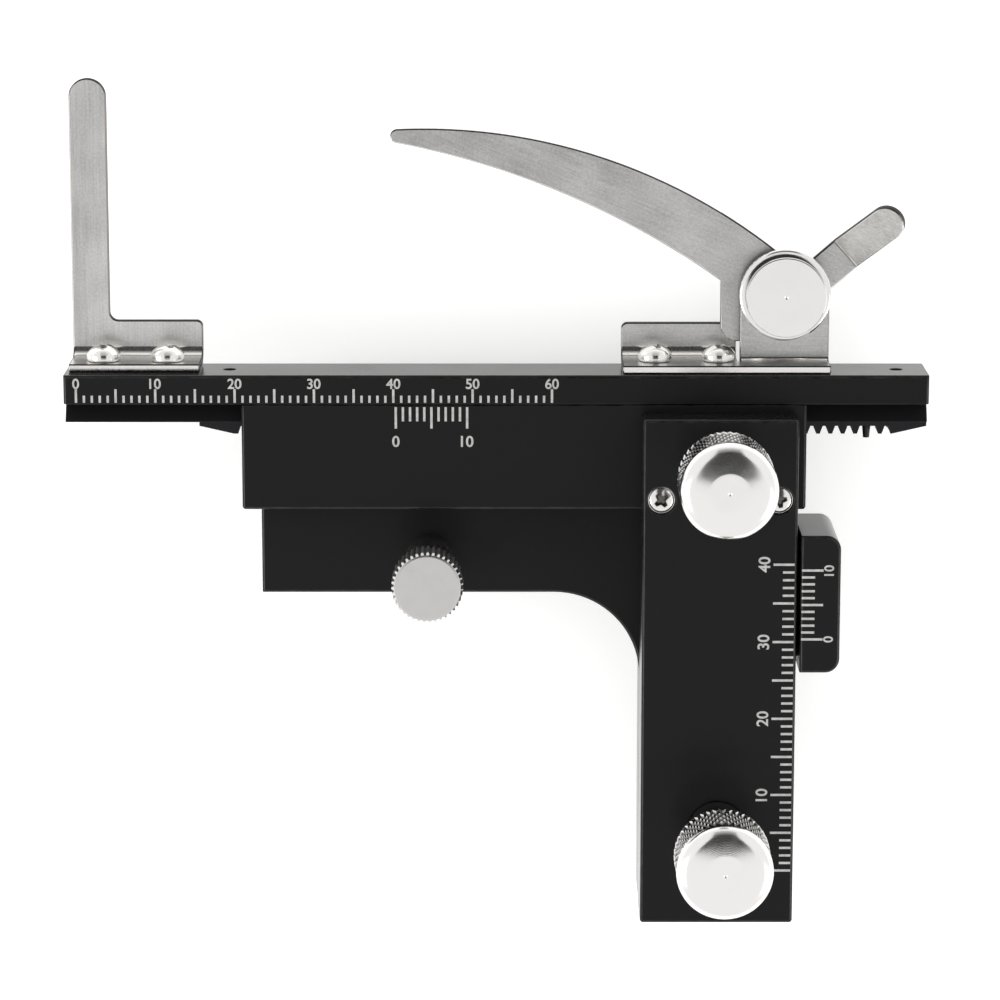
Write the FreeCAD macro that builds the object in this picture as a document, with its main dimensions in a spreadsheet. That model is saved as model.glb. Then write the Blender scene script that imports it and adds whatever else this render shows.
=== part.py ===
import FreeCAD, Part
import math
import os

import Sketcher

# Attachable mechanical stage for a microscope, in millimetres.
#
# The origin is the clamp screw's axis on the underside of the base plate, which sits on the
# microscope's own stage. X is the specimen's left and right, +Y points from the leg towards the
# fingers, and +Z is up. The base plate carries a slide arm on a Y dovetail. The arm carries the
# X carriage, and the carriage guides the X rail with the two specimen fingers.

# --------------------------------------------------------------------------- driving dimensions

SIZES = {
    # Base plate: a bar that is clamped down, and a leg that holds the Y guide
    "base_reach": 21.45,  # clamp axis to the left end of the bar
    "base_depth": 11.5,
    "base_back": 4.7,  # clamp axis to the back edge of the bar
    "base_height": 7.0,
    "base_fillet": 11.0,  # inner corner between bar and leg
    "leg_offset": 36.65,  # clamp axis to the centre line of the leg
    "leg_width": 19.5,
    "leg_length": 51.65,
    "edge_break": 0.25,  # small chamfer on the outer edges of the black parts
    # Locating pins and clamp screw
    "pin_spacing": 32.0,
    "pin_offset": 4.7,
    "pin_diameter": 2.0,
    "pin_reach": 8.2,
    "pin_chamfer": 0.2,
    "pin_spigot": 1.4,  # thinner end that is pressed into the base plate
    "pin_seat": 4.0,
    "clamp_shank": 3.4,
    "clamp_relief": 3.0,  # thinner length of the clamp screw inside the base plate
    "clamp_reach": 4.8,
    "clamp_hole_gap": 0.1,
    "clamp_neck": 6.0,
    "clamp_neck_length": 13.5,
    "clamp_head": 8.9,
    "clamp_head_height": 4.6,
    "clamp_chamfer": 0.35,
    # Dovetail slides
    "flank_angle": 60.0,
    "slide_gap": 0.08,  # between the faces of a tongue and its channel
    "lift_gap": 0.2,  # slide arm above the base plate
    "y_tongue_width": 10.0,
    "y_tongue_depth": 2.6,
    "x_tongue_root": 3.0,
    "x_tongue_depth": 2.6,
    # Racks and pinions
    "tooth_module": 0.5,
    "pinion_teeth": 10,
    "pressure_angle": 20.0,
    "tooth_tip": 0.45,  # tooth above the pitch line
    "tooth_root": 0.55,  # gullet below the pitch line
    "tooth_play": 0.07,  # taken from each side of a pinion tooth
    "rack_back": 0.65,
    "rack_ramp": 4.4,  # plain sloping end of the X rack
    "rack_floor": 1.6,
    "y_rack_height": 2.6,
    "y_rack_inset": 2.85,  # leg end to the end of the Y rack
    "y_rack_setback": 3.8,  # behind the front edge of the base plate
    "x_rack_height": 4.0,
    "x_rack_length": 92.25,
    "rack_channel_gap": 0.25,
    "pinion_gap": 0.35,
    "pinion_inset": 0.2,  # each pinion is this much shorter than its rack at each end
    "pinion_floor_gap": 0.4,  # Y pinion above the floor of its way
    "tooth_crowning": 1.25,  # taper of a pinion tooth above its pitch line, as rack tapers
    "tooth_undercut": 0.5,  # and below it
    # Slide arm
    "arm_height": 8.8,
    "arm_overhang": 1.2,  # beyond the end of the leg
    "arm_setback": 0.9,  # front edge behind the front of the carriage
    # X carriage
    "carriage_gap": 0.1,  # behind the carriage, and between carriage and rail
    "carriage_depth": 13.43,
    "carriage_left": 60.3,  # leg centre line to the left end
    "carriage_right": 11.1,
    "carriage_lift": 0.9,
    "carriage_height": 9.7,
    # X rail
    "rail_length": 109.15,
    "rail_right": 26.45,  # leg centre line to the right end
    "rail_depth": 3.7,
    "rail_height": 9.5,
    "rack_screw_inset": 3.8,
    "rack_screw": 1.6,
    "rack_screw_head": 2.4,
    "rack_screw_head_height": 0.5,
    "rack_screw_recess": 0.6,  # screw end below the front face of the rail
    # Stops
    "stop_pin_offset": 19.0,
    "stop_pin_root": 1.25,
    "stop_pin_tip": 0.8,
    "stop_pin_length": 2.45,
    "stop_screw": 2.2,
    "stop_screw_offset": 4.0,
    "stop_screw_gap": 0.3,
    # Knobs, shafts and bushes
    "x_pinion_back": 7.25,  # carriage back to the X pinion's axis
    "y_pinion_inset": 12.45,  # arm end to the Y pinion's axis
    "shaft": 3.0,
    "shaft_gap": 0.05,
    "shaft_clearance": 0.25,
    "shaft_grip": 6.0,  # length of shaft inside the knob
    "bush": 7.4,
    "bush_rise": 0.6,
    "knob_gap": 0.2,
    "knob_diameter": 12.0,
    "knob_head": 10.0,
    "knob_chamfer": 1.0,
    "knob_dome": 0.66,  # rise of the shallow dome on top
    "knob_neck": 6.0,
    "knob_neck_length": 9.7,
    "dimple": 0.8,
    # Screws that hold the arm to the carriage
    "arm_screw_spacing": 14.8,
    "arm_screw_back": 2.25,  # carriage back to the screws
    "arm_screw": 2.0,
    "arm_screw_head": 3.4,
    "arm_screw_head_height": 1.6,
    "arm_screw_length": 7.0,
    # Y vernier block
    "block_gap": 0.45,  # beside the slide arm
    "block_thickness": 5.05,
    "block_length": 17.7,
    "block_setback": 2.2,  # behind the front edge of the base plate
    "block_lift": 1.8,
    "block_corner": 1.8,
    "block_screw": 2.0,
    "block_screw_head": 3.6,
    "block_screw_head_height": 1.6,
    "block_screw_spacing": 10.0,
    "block_screw_above": 1.3,
    "block_screw_bite": 4.0,
    # Sheet metal fingers
    "sheet": 1.0,
    "bend": 1.5,  # outer radius of the ear's bend
    "foot_bend": 2.3,  # outer radius where a foot leaves its flange
    "foot_lift": 0.5,
    "finger_inset": 0.45,  # rail end to the fixed finger
    "finger_flange": 16.6,
    "finger_flange_height": 7.5,
    "finger_foot": 5.6,
    "blade_width": 4.75,
    "blade_length": 36.5,
    "foot_corner": 0.8,
    "blade_corner": 1.1,
    "bracket_inset": 12.3,  # rail end to the bracket
    "bracket_flange_height": 8.8,
    "bracket_foot": 5.3,
    "bracket_foot_width": 14.7,
    "bracket_slit": 0.3,
    "ear_width": 11.3,
    "ear_lift": 3.5,  # ear above the foot
    "pivot_reach": 9.47,  # rail to the pivot
    "plate_screw": 2.5,
    "plate_screw_bite": 2.8,
    "plate_screw_head": 4.3,
    "plate_screw_head_height": 2.1,
    "plate_screw_spacing": 8.1,
    "plate_screw_inset": 4.2,
    "plate_screw_lift": 5.0,
    # Pivot of the spring finger
    "pivot_screw": 2.5,
    "pivot_head": 5.6,
    "pivot_head_height": 1.15,
    "pivot_gap": 0.05,
    "spacer": 6.0,
    "cap": 11.6,
    "cap_height": 2.8,
    "cap_face": 10.0,  # flat top
    "cap_shoulder": 0.3,  # drop from the flat top to the rim
    "cap_chamfer": 0.3,
    "cap_grip": 2.0,  # length of pivot screw inside the cap
    # Spring finger, measured from its pivot
    "hub_left": 8.05,
    "hub_right": 5.5,
    "hub_back": 6.4,
    "hub_corner": 2.0,
    "hub_shoulder": 1.4,  # where the inner edge leaves the hub
    "crown_x": 1.95,  # where the outer edge leaves the hub
    "crown_y": 2.75,
    "outer_curve": 72.0,
    "inner_curve": 106.0,
    "tip_x": 49.15,
    "tip_y": 20.6,
    "tip_width": 1.82,
    "tip_round": 0.95,
    "tail_x": 7.95,  # centre of the tail's fold
    "tail_y": 5.0,
    "tail_width": 4.5,
    "tail_root": 7.0,
    "tail_angle": 41.0,
    "tab_length": 9.5,
    "tab_rise": 25.0,
    # Cross recess of a screw head, as parts of the head's diameter and height
    "recess_span": 0.62,
    "recess_width": 0.15,
    "recess_depth": 0.5,
    "head_edge": 0.45,  # straight side of a pan head
}

doc = FreeCAD.newDocument("MicroscopeStage")
sheet = doc.addObject("Spreadsheet::Sheet", "Sizes")
for row, (alias, value) in enumerate(SIZES.items(), start=1):
    sheet.set(f"A{row}", alias)
    sheet.set(f"B{row}", str(value))
    sheet.setAlias(f"B{row}", alias)
doc.recompute()


class Size:
    """A number that keeps the formula which ties it to the sheet."""

    def __init__(self, value, formula):
        self.value = value
        self.formula = formula

    def __add__(self, other):
        other = sized(other)
        return Size(self.value + other.value, f"({self.formula} + {other.formula})")

    def __sub__(self, other):
        other = sized(other)
        return Size(self.value - other.value, f"({self.formula} - {other.formula})")

    def __mul__(self, other):
        other = sized(other)
        return Size(self.value * other.value, f"({self.formula} * {other.formula})")

    def __truediv__(self, other):
        other = sized(other)
        return Size(self.value / other.value, f"({self.formula} / {other.formula})")

    def __neg__(self):
        return Size(-self.value, f"(0 - {self.formula})")


def sized(thing):
    """A plain number joins a formula as itself."""
    return thing if isinstance(thing, Size) else Size(float(thing), f"({float(thing)})")


def trig(name, angle):
    """The sine, cosine or tangent of an angle in degrees."""
    function = getattr(math, name)
    return Size(function(math.radians(angle.value)), f"{name}({angle.formula} * 1 deg)")


class SheetCells:
    """Reads a cell of the sheet by its alias."""

    def __getattr__(self, alias):
        return Size(float(sheet.get(alias)), f"Sizes.{alias}")


s = SheetCells()
zero = sized(0)

# --------------------------------------------------------------------------- shared places

leg_left = s.leg_offset - s.leg_width / 2
leg_right = s.leg_offset + s.leg_width / 2
base_front = s.base_depth - s.base_back
leg_end = base_front - s.leg_length

carriage_back = base_front + s.carriage_gap
carriage_front = carriage_back + s.carriage_depth
carriage_top = s.carriage_lift + s.carriage_height
rail_back = carriage_front + s.carriage_gap
rail_front = rail_back + s.rail_depth
rail_right = s.leg_offset + s.rail_right
rail_left = rail_right - s.rail_length
rail_bottom = carriage_top - s.rail_height
rail_middle = rail_bottom + s.rail_height / 2

arm_under = s.base_height + s.lift_gap
arm_top = arm_under + s.arm_height
arm_end = leg_end - s.arm_overhang
arm_front = carriage_front - s.arm_setback

flank = trig("tan", s.flank_angle)
flank_play = s.slide_gap / trig("sin", s.flank_angle)
y_tongue_half = s.y_tongue_width / 2
y_tongue_bottom = arm_under - s.y_tongue_depth
y_channel_floor = y_tongue_bottom - s.slide_gap
x_tongue_half = s.x_tongue_root / 2
x_tongue_face = rail_back - s.x_tongue_depth

pitch = s.tooth_module * math.pi
pitch_radius = s.tooth_module * s.pinion_teeth / 2
pinion_outer = pitch_radius + s.tooth_tip
x_pinion_y = carriage_back + s.x_pinion_back
y_pinion_y = arm_end + s.y_pinion_inset
rack_depth = s.rack_back + s.tooth_root + s.tooth_tip
x_rack_right = rail_right
x_rack_left = x_rack_right - s.x_rack_length
y_rack_wall = s.leg_offset + pitch_radius + s.tooth_root + s.rack_back
y_rack_end = leg_end + s.y_rack_inset
y_rack_length = base_front - s.y_rack_setback - y_rack_end
stop_pin_x = s.leg_offset + s.stop_pin_offset
stop_screw_y = s.stop_screw_offset

bush_bottom = carriage_top
bush_top = arm_top + s.bush_rise
knob_bottom = bush_top + s.knob_gap
shaft_top = knob_bottom + s.knob_neck_length + s.shaft_grip
shaft_hole = s.shaft / 2 + s.shaft_clearance

foot_top = s.foot_lift + s.sheet
finger_left = rail_left + s.finger_inset
finger_right = finger_left + s.finger_flange
blade_right = finger_left + s.blade_width
bracket_right = rail_right - s.bracket_inset
ear_left = bracket_right - s.ear_width
foot_right = ear_left - s.bracket_slit
bracket_left = foot_right - s.bracket_foot_width
ear_bottom = s.foot_lift + s.ear_lift
ear_top = ear_bottom + s.sheet
pivot_x = bracket_right - s.ear_width / 2
pivot_y = rail_front + s.pivot_reach

hub_bottom = s.foot_lift + s.pivot_head_height + s.pivot_gap
hub_top = hub_bottom + s.sheet

# --------------------------------------------------------------------------- building helpers

NORMAL_SIDE = {"XY_Plane": 1, "XZ_Plane": -1, "YZ_Plane": 1}
TURN_TO = {
    "+z": FreeCAD.Rotation(),
    "-z": FreeCAD.Rotation(FreeCAD.Vector(1, 0, 0), 180),
    "+y": FreeCAD.Rotation(FreeCAD.Vector(1, 0, 0), -90),
    "-y": FreeCAD.Rotation(FreeCAD.Vector(1, 0, 0), 90),
    "+x": FreeCAD.Rotation(FreeCAD.Vector(0, 1, 0), 90),
}
LEFT = 1
RIGHT = -1
SAME_PLACE = 0.001  # places closer than this are one place

pieces = []


def tie(thing, prop, size):
    """Drives one property of an object from the sheet."""
    thing.setExpression(prop, size.formula)


def place(thing, x, y, z, direction="+z"):
    """Turns an object's own Z axis to a direction and moves its origin to (x, y, z)."""
    thing.Placement = FreeCAD.Placement(FreeCAD.Vector(), TURN_TO[direction])
    for axis, size in zip("xyz", (x, y, z)):
        tie(thing, f"Placement.Base.{axis}", size)


def keep(thing):
    """Adds a finished sub-part to the list that is written out."""
    pieces.append(thing)
    return thing


def new_body(label):
    body = doc.addObject("PartDesign::Body", label)
    body.Label = label
    return keep(body)


def sketch_on(body, plane, height):
    """An empty sketch on one of the body's origin planes, raised along the plane's normal."""
    sketch = body.newObject("Sketcher::SketchObject", "Sketch")
    support = [item for item in body.Origin.OriginFeatures if item.Role == plane][0]
    sketch.AttachmentSupport = [(support, "")]
    sketch.MapMode = "FlatFace"
    tie(sketch, "AttachmentOffset.Base.z", height)
    return sketch


def measure(sketch, kind, value, *where):
    """A dimension in a sketch that follows the sheet."""
    index = sketch.addConstraint(Sketcher.Constraint(kind, *where, value.value))
    tie(sketch, f"Constraints[{index}]", value)


def arc_between(start, end, radius, turn):
    """The short arc from start to end that turns LEFT or RIGHT on its way."""
    chord = end - start
    rise = math.sqrt(radius**2 - (chord.Length / 2) ** 2)
    across = FreeCAD.Vector(-chord.y, chord.x, 0).normalize()
    centre = (start + end) / 2 + across * rise * turn
    first, last = (start, end) if turn == LEFT else (end, start)
    angles = [math.atan2(point.y - centre.y, point.x - centre.x) for point in (first, last)]
    if angles[1] < angles[0]:
        angles[1] += 2 * math.pi
    circle = Part.Circle(centre, FreeCAD.Vector(0, 0, 1), radius)
    return Part.ArcOfCircle(circle, *angles)


def draw_outline(sketch, corners):
    """A closed outline through (x, y) corners. A corner (x, y, radius, turn) starts an arc."""
    points = [FreeCAD.Vector(corner[0].value, corner[1].value, 0) for corner in corners]
    starts = []
    ends = []
    for number, corner in enumerate(corners):
        start = points[number]
        end = points[(number + 1) % len(points)]
        if len(corner) == 2:
            curve = sketch.addGeometry(Part.LineSegment(start, end), False)
            starts.append((curve, 1))
            ends.append((curve, 2))
        else:
            radius, turn = corner[2:]
            arc = arc_between(start, end, radius.value, turn)
            curve = sketch.addGeometry(arc, False)
            starts.append((curve, 1 if turn == LEFT else 2))
            ends.append((curve, 2 if turn == LEFT else 1))
            measure(sketch, "Radius", radius, curve)
    for number, corner in enumerate(corners):
        following = starts[(number + 1) % len(corners)]
        sketch.addConstraint(Sketcher.Constraint("Coincident", *ends[number], *following))
        measure(sketch, "DistanceX", corner[0], -1, 1, *starts[number])
        measure(sketch, "DistanceY", corner[1], -1, 1, *starts[number])


def draw_circle(sketch, x, y, radius):
    centre = FreeCAD.Vector(x.value, y.value, 0)
    circle = Part.Circle(centre, FreeCAD.Vector(0, 0, 1), radius.value)
    curve = sketch.addGeometry(circle, False)
    measure(sketch, "Radius", radius, curve)
    measure(sketch, "DistanceX", x, -1, 1, curve, 3)
    measure(sketch, "DistanceY", y, -1, 1, curve, 3)


def sketch_between(body, plane, low, high):
    """A sketch from which a feature runs along the normal between two places on that axis."""
    if NORMAL_SIDE[plane] < 0:
        return sketch_on(body, plane, -high)
    return sketch_on(body, plane, low)


def run_feature(body, kind, sketch, length):
    feature = body.newObject(f"PartDesign::{kind}", kind)
    feature.Profile = sketch
    tie(feature, "Length", length)
    if kind == "Pocket":
        feature.Reversed = True
    body.Tip = feature
    return feature


def add(body, plane, corners, low, high):
    """Adds a prism of an outline between two places on the plane's axis."""
    sketch = sketch_between(body, plane, low, high)
    draw_outline(sketch, corners)
    return run_feature(body, "Pad", sketch, high - low)


def remove(body, plane, corners, low, high):
    """Cuts a prism of an outline between two places on the plane's axis."""
    sketch = sketch_between(body, plane, low, high)
    draw_outline(sketch, corners)
    return run_feature(body, "Pocket", sketch, high - low)


def add_disc(body, x, y, radius, low, high):
    sketch = sketch_between(body, "XY_Plane", low, high)
    draw_circle(sketch, x, y, radius)
    return run_feature(body, "Pad", sketch, high - low)


def bore(body, plane, centres, radius, low, high):
    """Cuts round holes between two places on the plane's axis."""
    sketch = sketch_between(body, plane, low, high)
    for x, y in centres:
        draw_circle(sketch, x, y, radius)
    return run_feature(body, "Pocket", sketch, high - low)


def rectangle(left, right, low, high):
    return [(left, low), (right, low), (right, high), (left, high)]


def dress_edges(body, kind, prop, size, wanted):
    """Chamfers or rounds the body's edges whose middle and direction are wanted."""
    doc.recompute()
    base = body.Tip
    names = []
    for number, edge in enumerate(base.Shape.Edges, start=1):
        ends = [vertex.Point for vertex in edge.Vertexes]
        if len(ends) == 2 and wanted((ends[0] + ends[1]) / 2, ends[1] - ends[0]):
            names.append(f"Edge{number}")
    feature = body.newObject(f"PartDesign::{kind}", kind)
    feature.Base = (base, names)
    tie(feature, prop, size)
    body.Tip = feature


def chamfer(body, size, wanted):
    dress_edges(body, "Chamfer", "Size", size, wanted)


def fillet(body, radius, wanted):
    dress_edges(body, "Fillet", "Radius", radius, wanted)


def near(value, *sizes):
    return any(abs(value - size.value) < SAME_PLACE for size in sizes)


def level(run):
    """True of an edge that keeps its height."""
    return abs(run.z) < SAME_PLACE


def upright(run):
    """True of an edge that runs along Z."""
    return abs(run.x) + abs(run.y) < SAME_PLACE < abs(run.z)


def revolve(body, profile):
    """Turns a profile of (radius, height) corners round the body's Z axis."""
    sketch = sketch_on(body, "XZ_Plane", zero)
    draw_outline(sketch, profile)
    feature = body.newObject("PartDesign::Revolution", "Revolution")
    feature.Profile = sketch
    feature.ReferenceAxis = (sketch, ["V_Axis"])
    feature.Angle = 360
    body.Tip = feature


def cylinder(label, diameter, length):
    rod = doc.addObject("Part::Cylinder", label)
    rod.Label = label
    tie(rod, "Radius", diameter / 2)
    tie(rod, "Height", length)
    return keep(rod)


def cross_head_screw(label, diameter, bite, head, head_height):
    """A pan head screw along Z, with its seat at zero, its head above and a cross recess."""
    body = new_body(label)
    edge = head_height * s.head_edge
    crown = head_height - edge
    dome = (head * head / 4 + crown * crown) / (crown * 2)
    profile = [
        (zero, -bite),
        (diameter / 2, -bite),
        (diameter / 2, zero),
        (head / 2, zero),
        (head / 2, edge, dome, LEFT),
        (zero, head_height),
    ]
    revolve(body, profile)
    arm = head * s.recess_span / 2
    slot = head * s.recess_width / 2
    cross = [
        (arm, -slot), (arm, slot), (slot, slot), (slot, arm), (-slot, arm), (-slot, slot),
        (-arm, slot), (-arm, -slot), (-slot, -slot), (-slot, -arm), (slot, -arm), (slot, -slot),
    ]
    recess_floor = head_height - head_height * s.recess_depth
    remove(body, "XY_Plane", cross, recess_floor, head_height)
    return body


def plain_head_screw(label, diameter, length, head, head_height):
    """A cheese head screw along Z, with its seat at zero and its head above."""
    body = new_body(label)
    profile = [
        (zero, -length),
        (diameter / 2, -length),
        (diameter / 2, zero),
        (head / 2, zero),
        (head / 2, head_height),
        (zero, head_height),
    ]
    revolve(body, profile)
    return body


def solid_of(label, corners, depth, height):
    """A prism of a closed polygon, from depth up to height, for shapes with counted teeth."""
    wire = Part.makePolygon(corners + corners[:1])
    piece = doc.addObject("Part::Feature", label)
    piece.Label = label
    piece.Shape = Part.Face(wire).extrude(FreeCAD.Vector(0, 0, height - depth))
    return keep(piece)


# --------------------------------------------------------------------------- base plate


def build_base_plate():
    body = new_body("base_plate")
    outline = [
        (-s.base_reach, -s.base_back),
        (leg_left - s.base_fillet, -s.base_back, s.base_fillet, RIGHT),
        (leg_left, -s.base_back - s.base_fillet),
        (leg_left, leg_end),
        (leg_right, leg_end),
        (leg_right, base_front),
        (-s.base_reach, base_front),
    ]
    add(body, "XY_Plane", outline, zero, s.base_height)

    # The Y channel: a dovetail for the arm's tongue, and below it the way for rack and pinion
    above_tongue = arm_under - s.base_height
    top_half = y_tongue_half + above_tongue / flank + flank_play
    low_half = y_tongue_half + (arm_under - y_channel_floor) / flank + flank_play
    way_left = s.leg_offset - pinion_outer - s.pinion_gap
    channel = [
        (s.leg_offset - top_half, s.base_height),
        (s.leg_offset - low_half, y_channel_floor),
        (way_left, y_channel_floor),
        (way_left, s.rack_floor),
        (y_rack_wall, s.rack_floor),
        (y_rack_wall, y_channel_floor),
        (s.leg_offset + low_half, y_channel_floor),
        (s.leg_offset + top_half, s.base_height),
    ]
    remove(body, "XZ_Plane", channel, leg_end, base_front)

    clamp_hole = s.clamp_shank / 2 + s.clamp_hole_gap
    bore(body, "XY_Plane", [(zero, zero)], clamp_hole, zero, s.base_height)
    pin_places = [(side * s.pin_spacing / 2, s.pin_offset) for side in (sized(-1), sized(1))]
    bore(body, "XY_Plane", pin_places, s.pin_spigot / 2, zero, s.pin_seat)
    stop_place = [(s.leg_offset, stop_screw_y)]
    bore(body, "XY_Plane", stop_place, s.stop_screw / 2, zero, s.rack_floor)
    screw_end = leg_right - s.block_screw_bite
    bore(body, "YZ_Plane", block_screw_places(), s.block_screw / 2, screw_end, leg_right)

    def outer_edge(middle, run):
        at_side = near(middle.x, -s.base_reach, leg_left, leg_right)
        at_end = near(middle.y, -s.base_back, base_front)
        face = near(middle.z, zero, s.base_height)
        return level(run) and face and (at_side or at_end) and run.Length > s.stop_screw.value

    chamfer(body, s.edge_break, outer_edge)


def block_screw_places():
    """The two screws of the vernier block, as (y, z) on the side of the leg."""
    middle = base_front - s.block_setback - s.block_length / 2
    height = s.block_lift + s.block_screw_above
    half = s.block_screw_spacing / 2
    return [(middle - half, height), (middle + half, height)]


def build_locating_pins():
    tip = s.pin_diameter / 2 - s.pin_chamfer
    profile = [
        (zero, -s.pin_reach),
        (tip, -s.pin_reach),
        (s.pin_diameter / 2, s.pin_chamfer - s.pin_reach),
        (s.pin_diameter / 2, zero),
        (s.pin_spigot / 2, zero),
        (s.pin_spigot / 2, s.pin_seat),
        (zero, s.pin_seat),
    ]
    for side, sign in (("left", -1), ("right", 1)):
        pin = new_body(f"locating_pin_{side}")
        revolve(pin, profile)
        place(pin, s.pin_spacing / 2 * sign, s.pin_offset, zero)


def build_clamp_screw():
    body = new_body("clamp_screw")
    head_bottom = s.base_height + s.clamp_neck_length
    head_top = head_bottom + s.clamp_head_height
    bevel = s.clamp_chamfer
    profile = [
        (zero, -s.clamp_reach),
        (s.clamp_shank / 2 - bevel, -s.clamp_reach),
        (s.clamp_shank / 2, bevel - s.clamp_reach),
        (s.clamp_shank / 2, zero),
        (s.clamp_relief / 2, zero),
        (s.clamp_relief / 2, s.base_height),
        (s.clamp_neck / 2, s.base_height),
        (s.clamp_neck / 2, head_bottom),
        (s.clamp_head / 2 - bevel, head_bottom),
        (s.clamp_head / 2, head_bottom + bevel),
        (s.clamp_head / 2, head_top - bevel),
        (s.clamp_head / 2 - bevel, head_top),
        (zero, head_top),
    ]
    revolve(body, profile)


def build_y_stop_screw():
    length = y_tongue_bottom - s.stop_screw_gap
    screw = cylinder("y_stop_screw", s.stop_screw, length)
    place(screw, s.leg_offset, stop_screw_y, zero)


def build_vernier_block():
    body = new_body("y_vernier_block")
    face = leg_right + s.block_gap
    outside = face + s.block_thickness
    front = base_front - s.block_setback
    back = front - s.block_length
    profile = [
        (leg_right, s.block_lift),
        (outside, s.block_lift),
        (outside, arm_top),
        (face, arm_top),
        (face, s.base_height),
        (leg_right, s.base_height),
    ]
    add(body, "XZ_Plane", profile, back, front)
    places = block_screw_places()
    bore(body, "YZ_Plane", places, s.block_screw / 2, leg_right, outside)
    head_seat = outside - s.block_screw_head_height
    head_hole = s.block_screw_head / 2 + s.clamp_hole_gap
    bore(body, "YZ_Plane", places, head_hole, head_seat, outside)

    def outer_corner(middle, run):
        return upright(run) and near(middle.x, outside)

    def top_edge(middle, run):
        return near(middle.z, arm_top) and level(run)

    fillet(body, s.block_corner, outer_corner)
    chamfer(body, s.edge_break, top_edge)

    for number, (y, z) in enumerate(places, start=1):
        length = head_seat - leg_right + s.block_screw_bite
        head = s.block_screw_head
        screw = plain_head_screw(
            f"vernier_block_screw_{number}", s.block_screw, length, head, s.block_screw_head_height
        )
        place(screw, head_seat, y, z, "+x")


# --------------------------------------------------------------------------- racks and pinions


def build_pinion_shaft(label, x, y, gear_bottom, gear_height, gap_direction):
    """A shaft with pinion teeth at its foot. A gap between two teeth points in gap_direction."""
    count = int(round(s.pinion_teeth.value))
    module_play = s.tooth_play.value
    half_tooth = pitch.value / 4 - module_play
    lean = math.tan(math.radians(s.pressure_angle.value))
    root = pitch_radius.value - s.tooth_root.value
    middle = pitch_radius.value
    outer = pinion_outer.value
    tip_half = half_tooth - s.tooth_tip.value * lean * s.tooth_crowning.value
    root_half = half_tooth - s.tooth_root.value * lean * s.tooth_undercut.value
    flank_points = [(root, root_half), (middle, half_tooth), (outer, tip_half)]
    corners = []
    for tooth in range(count):
        direction = math.radians(gap_direction) + 2 * math.pi * (tooth + 0.5) / count
        rising = [(radius, -half) for radius, half in flank_points]
        falling = [(radius, half) for radius, half in reversed(flank_points)]
        for radius, half in rising + falling:
            angle = direction + half / radius
            corners.append(FreeCAD.Vector(radius * math.cos(angle), radius * math.sin(angle), 0))
    wire = Part.makePolygon(corners + corners[:1])
    gear = Part.Face(wire).extrude(FreeCAD.Vector(0, 0, gear_height.value))
    shaft = Part.makeCylinder(s.shaft.value / 2, (shaft_top - gear_bottom).value)
    piece = doc.addObject("Part::Feature", label)
    piece.Label = label
    piece.Shape = gear.fuse(shaft).removeSplitter()
    place(piece, x, y, gear_bottom)
    keep(piece)


def gap_angle(rack_side, offset):
    """Where the pinion's gap points, in degrees, to take a rack tooth that stands off its axis."""
    turn = math.degrees(offset.value / pitch_radius.value)
    return rack_side - turn if rack_side == 90 else rack_side + turn


def rack_outline(length, first_tooth, start_ramp, end_ramp, skipped):
    """Outline of a rack along +X with its back on Y = 0 and teeth at first_tooth + n pitches."""
    root = s.rack_back.value
    tip = rack_depth.value
    pitch_line = root + s.tooth_root.value
    lean = math.tan(math.radians(s.pressure_angle.value))
    half_tip = pitch.value / 4 - (tip - pitch_line) * lean
    half_root = pitch.value / 4 + (pitch_line - root) * lean
    corners = [FreeCAD.Vector(0, 0, 0), FreeCAD.Vector(0, root, 0)]
    if start_ramp:
        corners.append(FreeCAD.Vector(start_ramp, tip, 0))
    lowest = math.ceil((start_ramp + half_root - first_tooth) / pitch.value)
    highest = math.floor((length - end_ramp - half_root - first_tooth) / pitch.value)
    for number in range(lowest, highest + 1):
        centre = first_tooth + number * pitch.value
        if start_ramp and number == lowest:
            corners.append(FreeCAD.Vector(centre - pitch.value + half_tip, tip, 0))
            corners.append(FreeCAD.Vector(centre - pitch.value + half_root, root, 0))
        if number not in skipped:
            corners.append(FreeCAD.Vector(centre - half_root, root, 0))
            corners.append(FreeCAD.Vector(centre - half_tip, tip, 0))
            corners.append(FreeCAD.Vector(centre + half_tip, tip, 0))
            corners.append(FreeCAD.Vector(centre + half_root, root, 0))
    if end_ramp:
        corners.append(FreeCAD.Vector(centre + pitch.value - half_root, root, 0))
        corners.append(FreeCAD.Vector(centre + pitch.value - half_tip, tip, 0))
        corners.append(FreeCAD.Vector(length - end_ramp, tip, 0))
    corners.append(FreeCAD.Vector(length, root, 0))
    corners.append(FreeCAD.Vector(length, 0, 0))
    return corners


def build_y_rack():
    length = y_rack_length.value
    corners = rack_outline(length, pitch.value, 0, 0, [])
    piece = solid_of("y_rack", corners, 0, s.y_rack_height.value)
    # The back of the rack leans on the +X wall of its way, and the teeth face -X
    turn = FreeCAD.Rotation(FreeCAD.Vector(0, 0, 1), 90)
    piece.Placement = FreeCAD.Placement(FreeCAD.Vector(), turn)
    tie(piece, "Placement.Base.x", y_rack_wall)
    tie(piece, "Placement.Base.y", y_rack_end)
    tie(piece, "Placement.Base.z", s.rack_floor)


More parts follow.
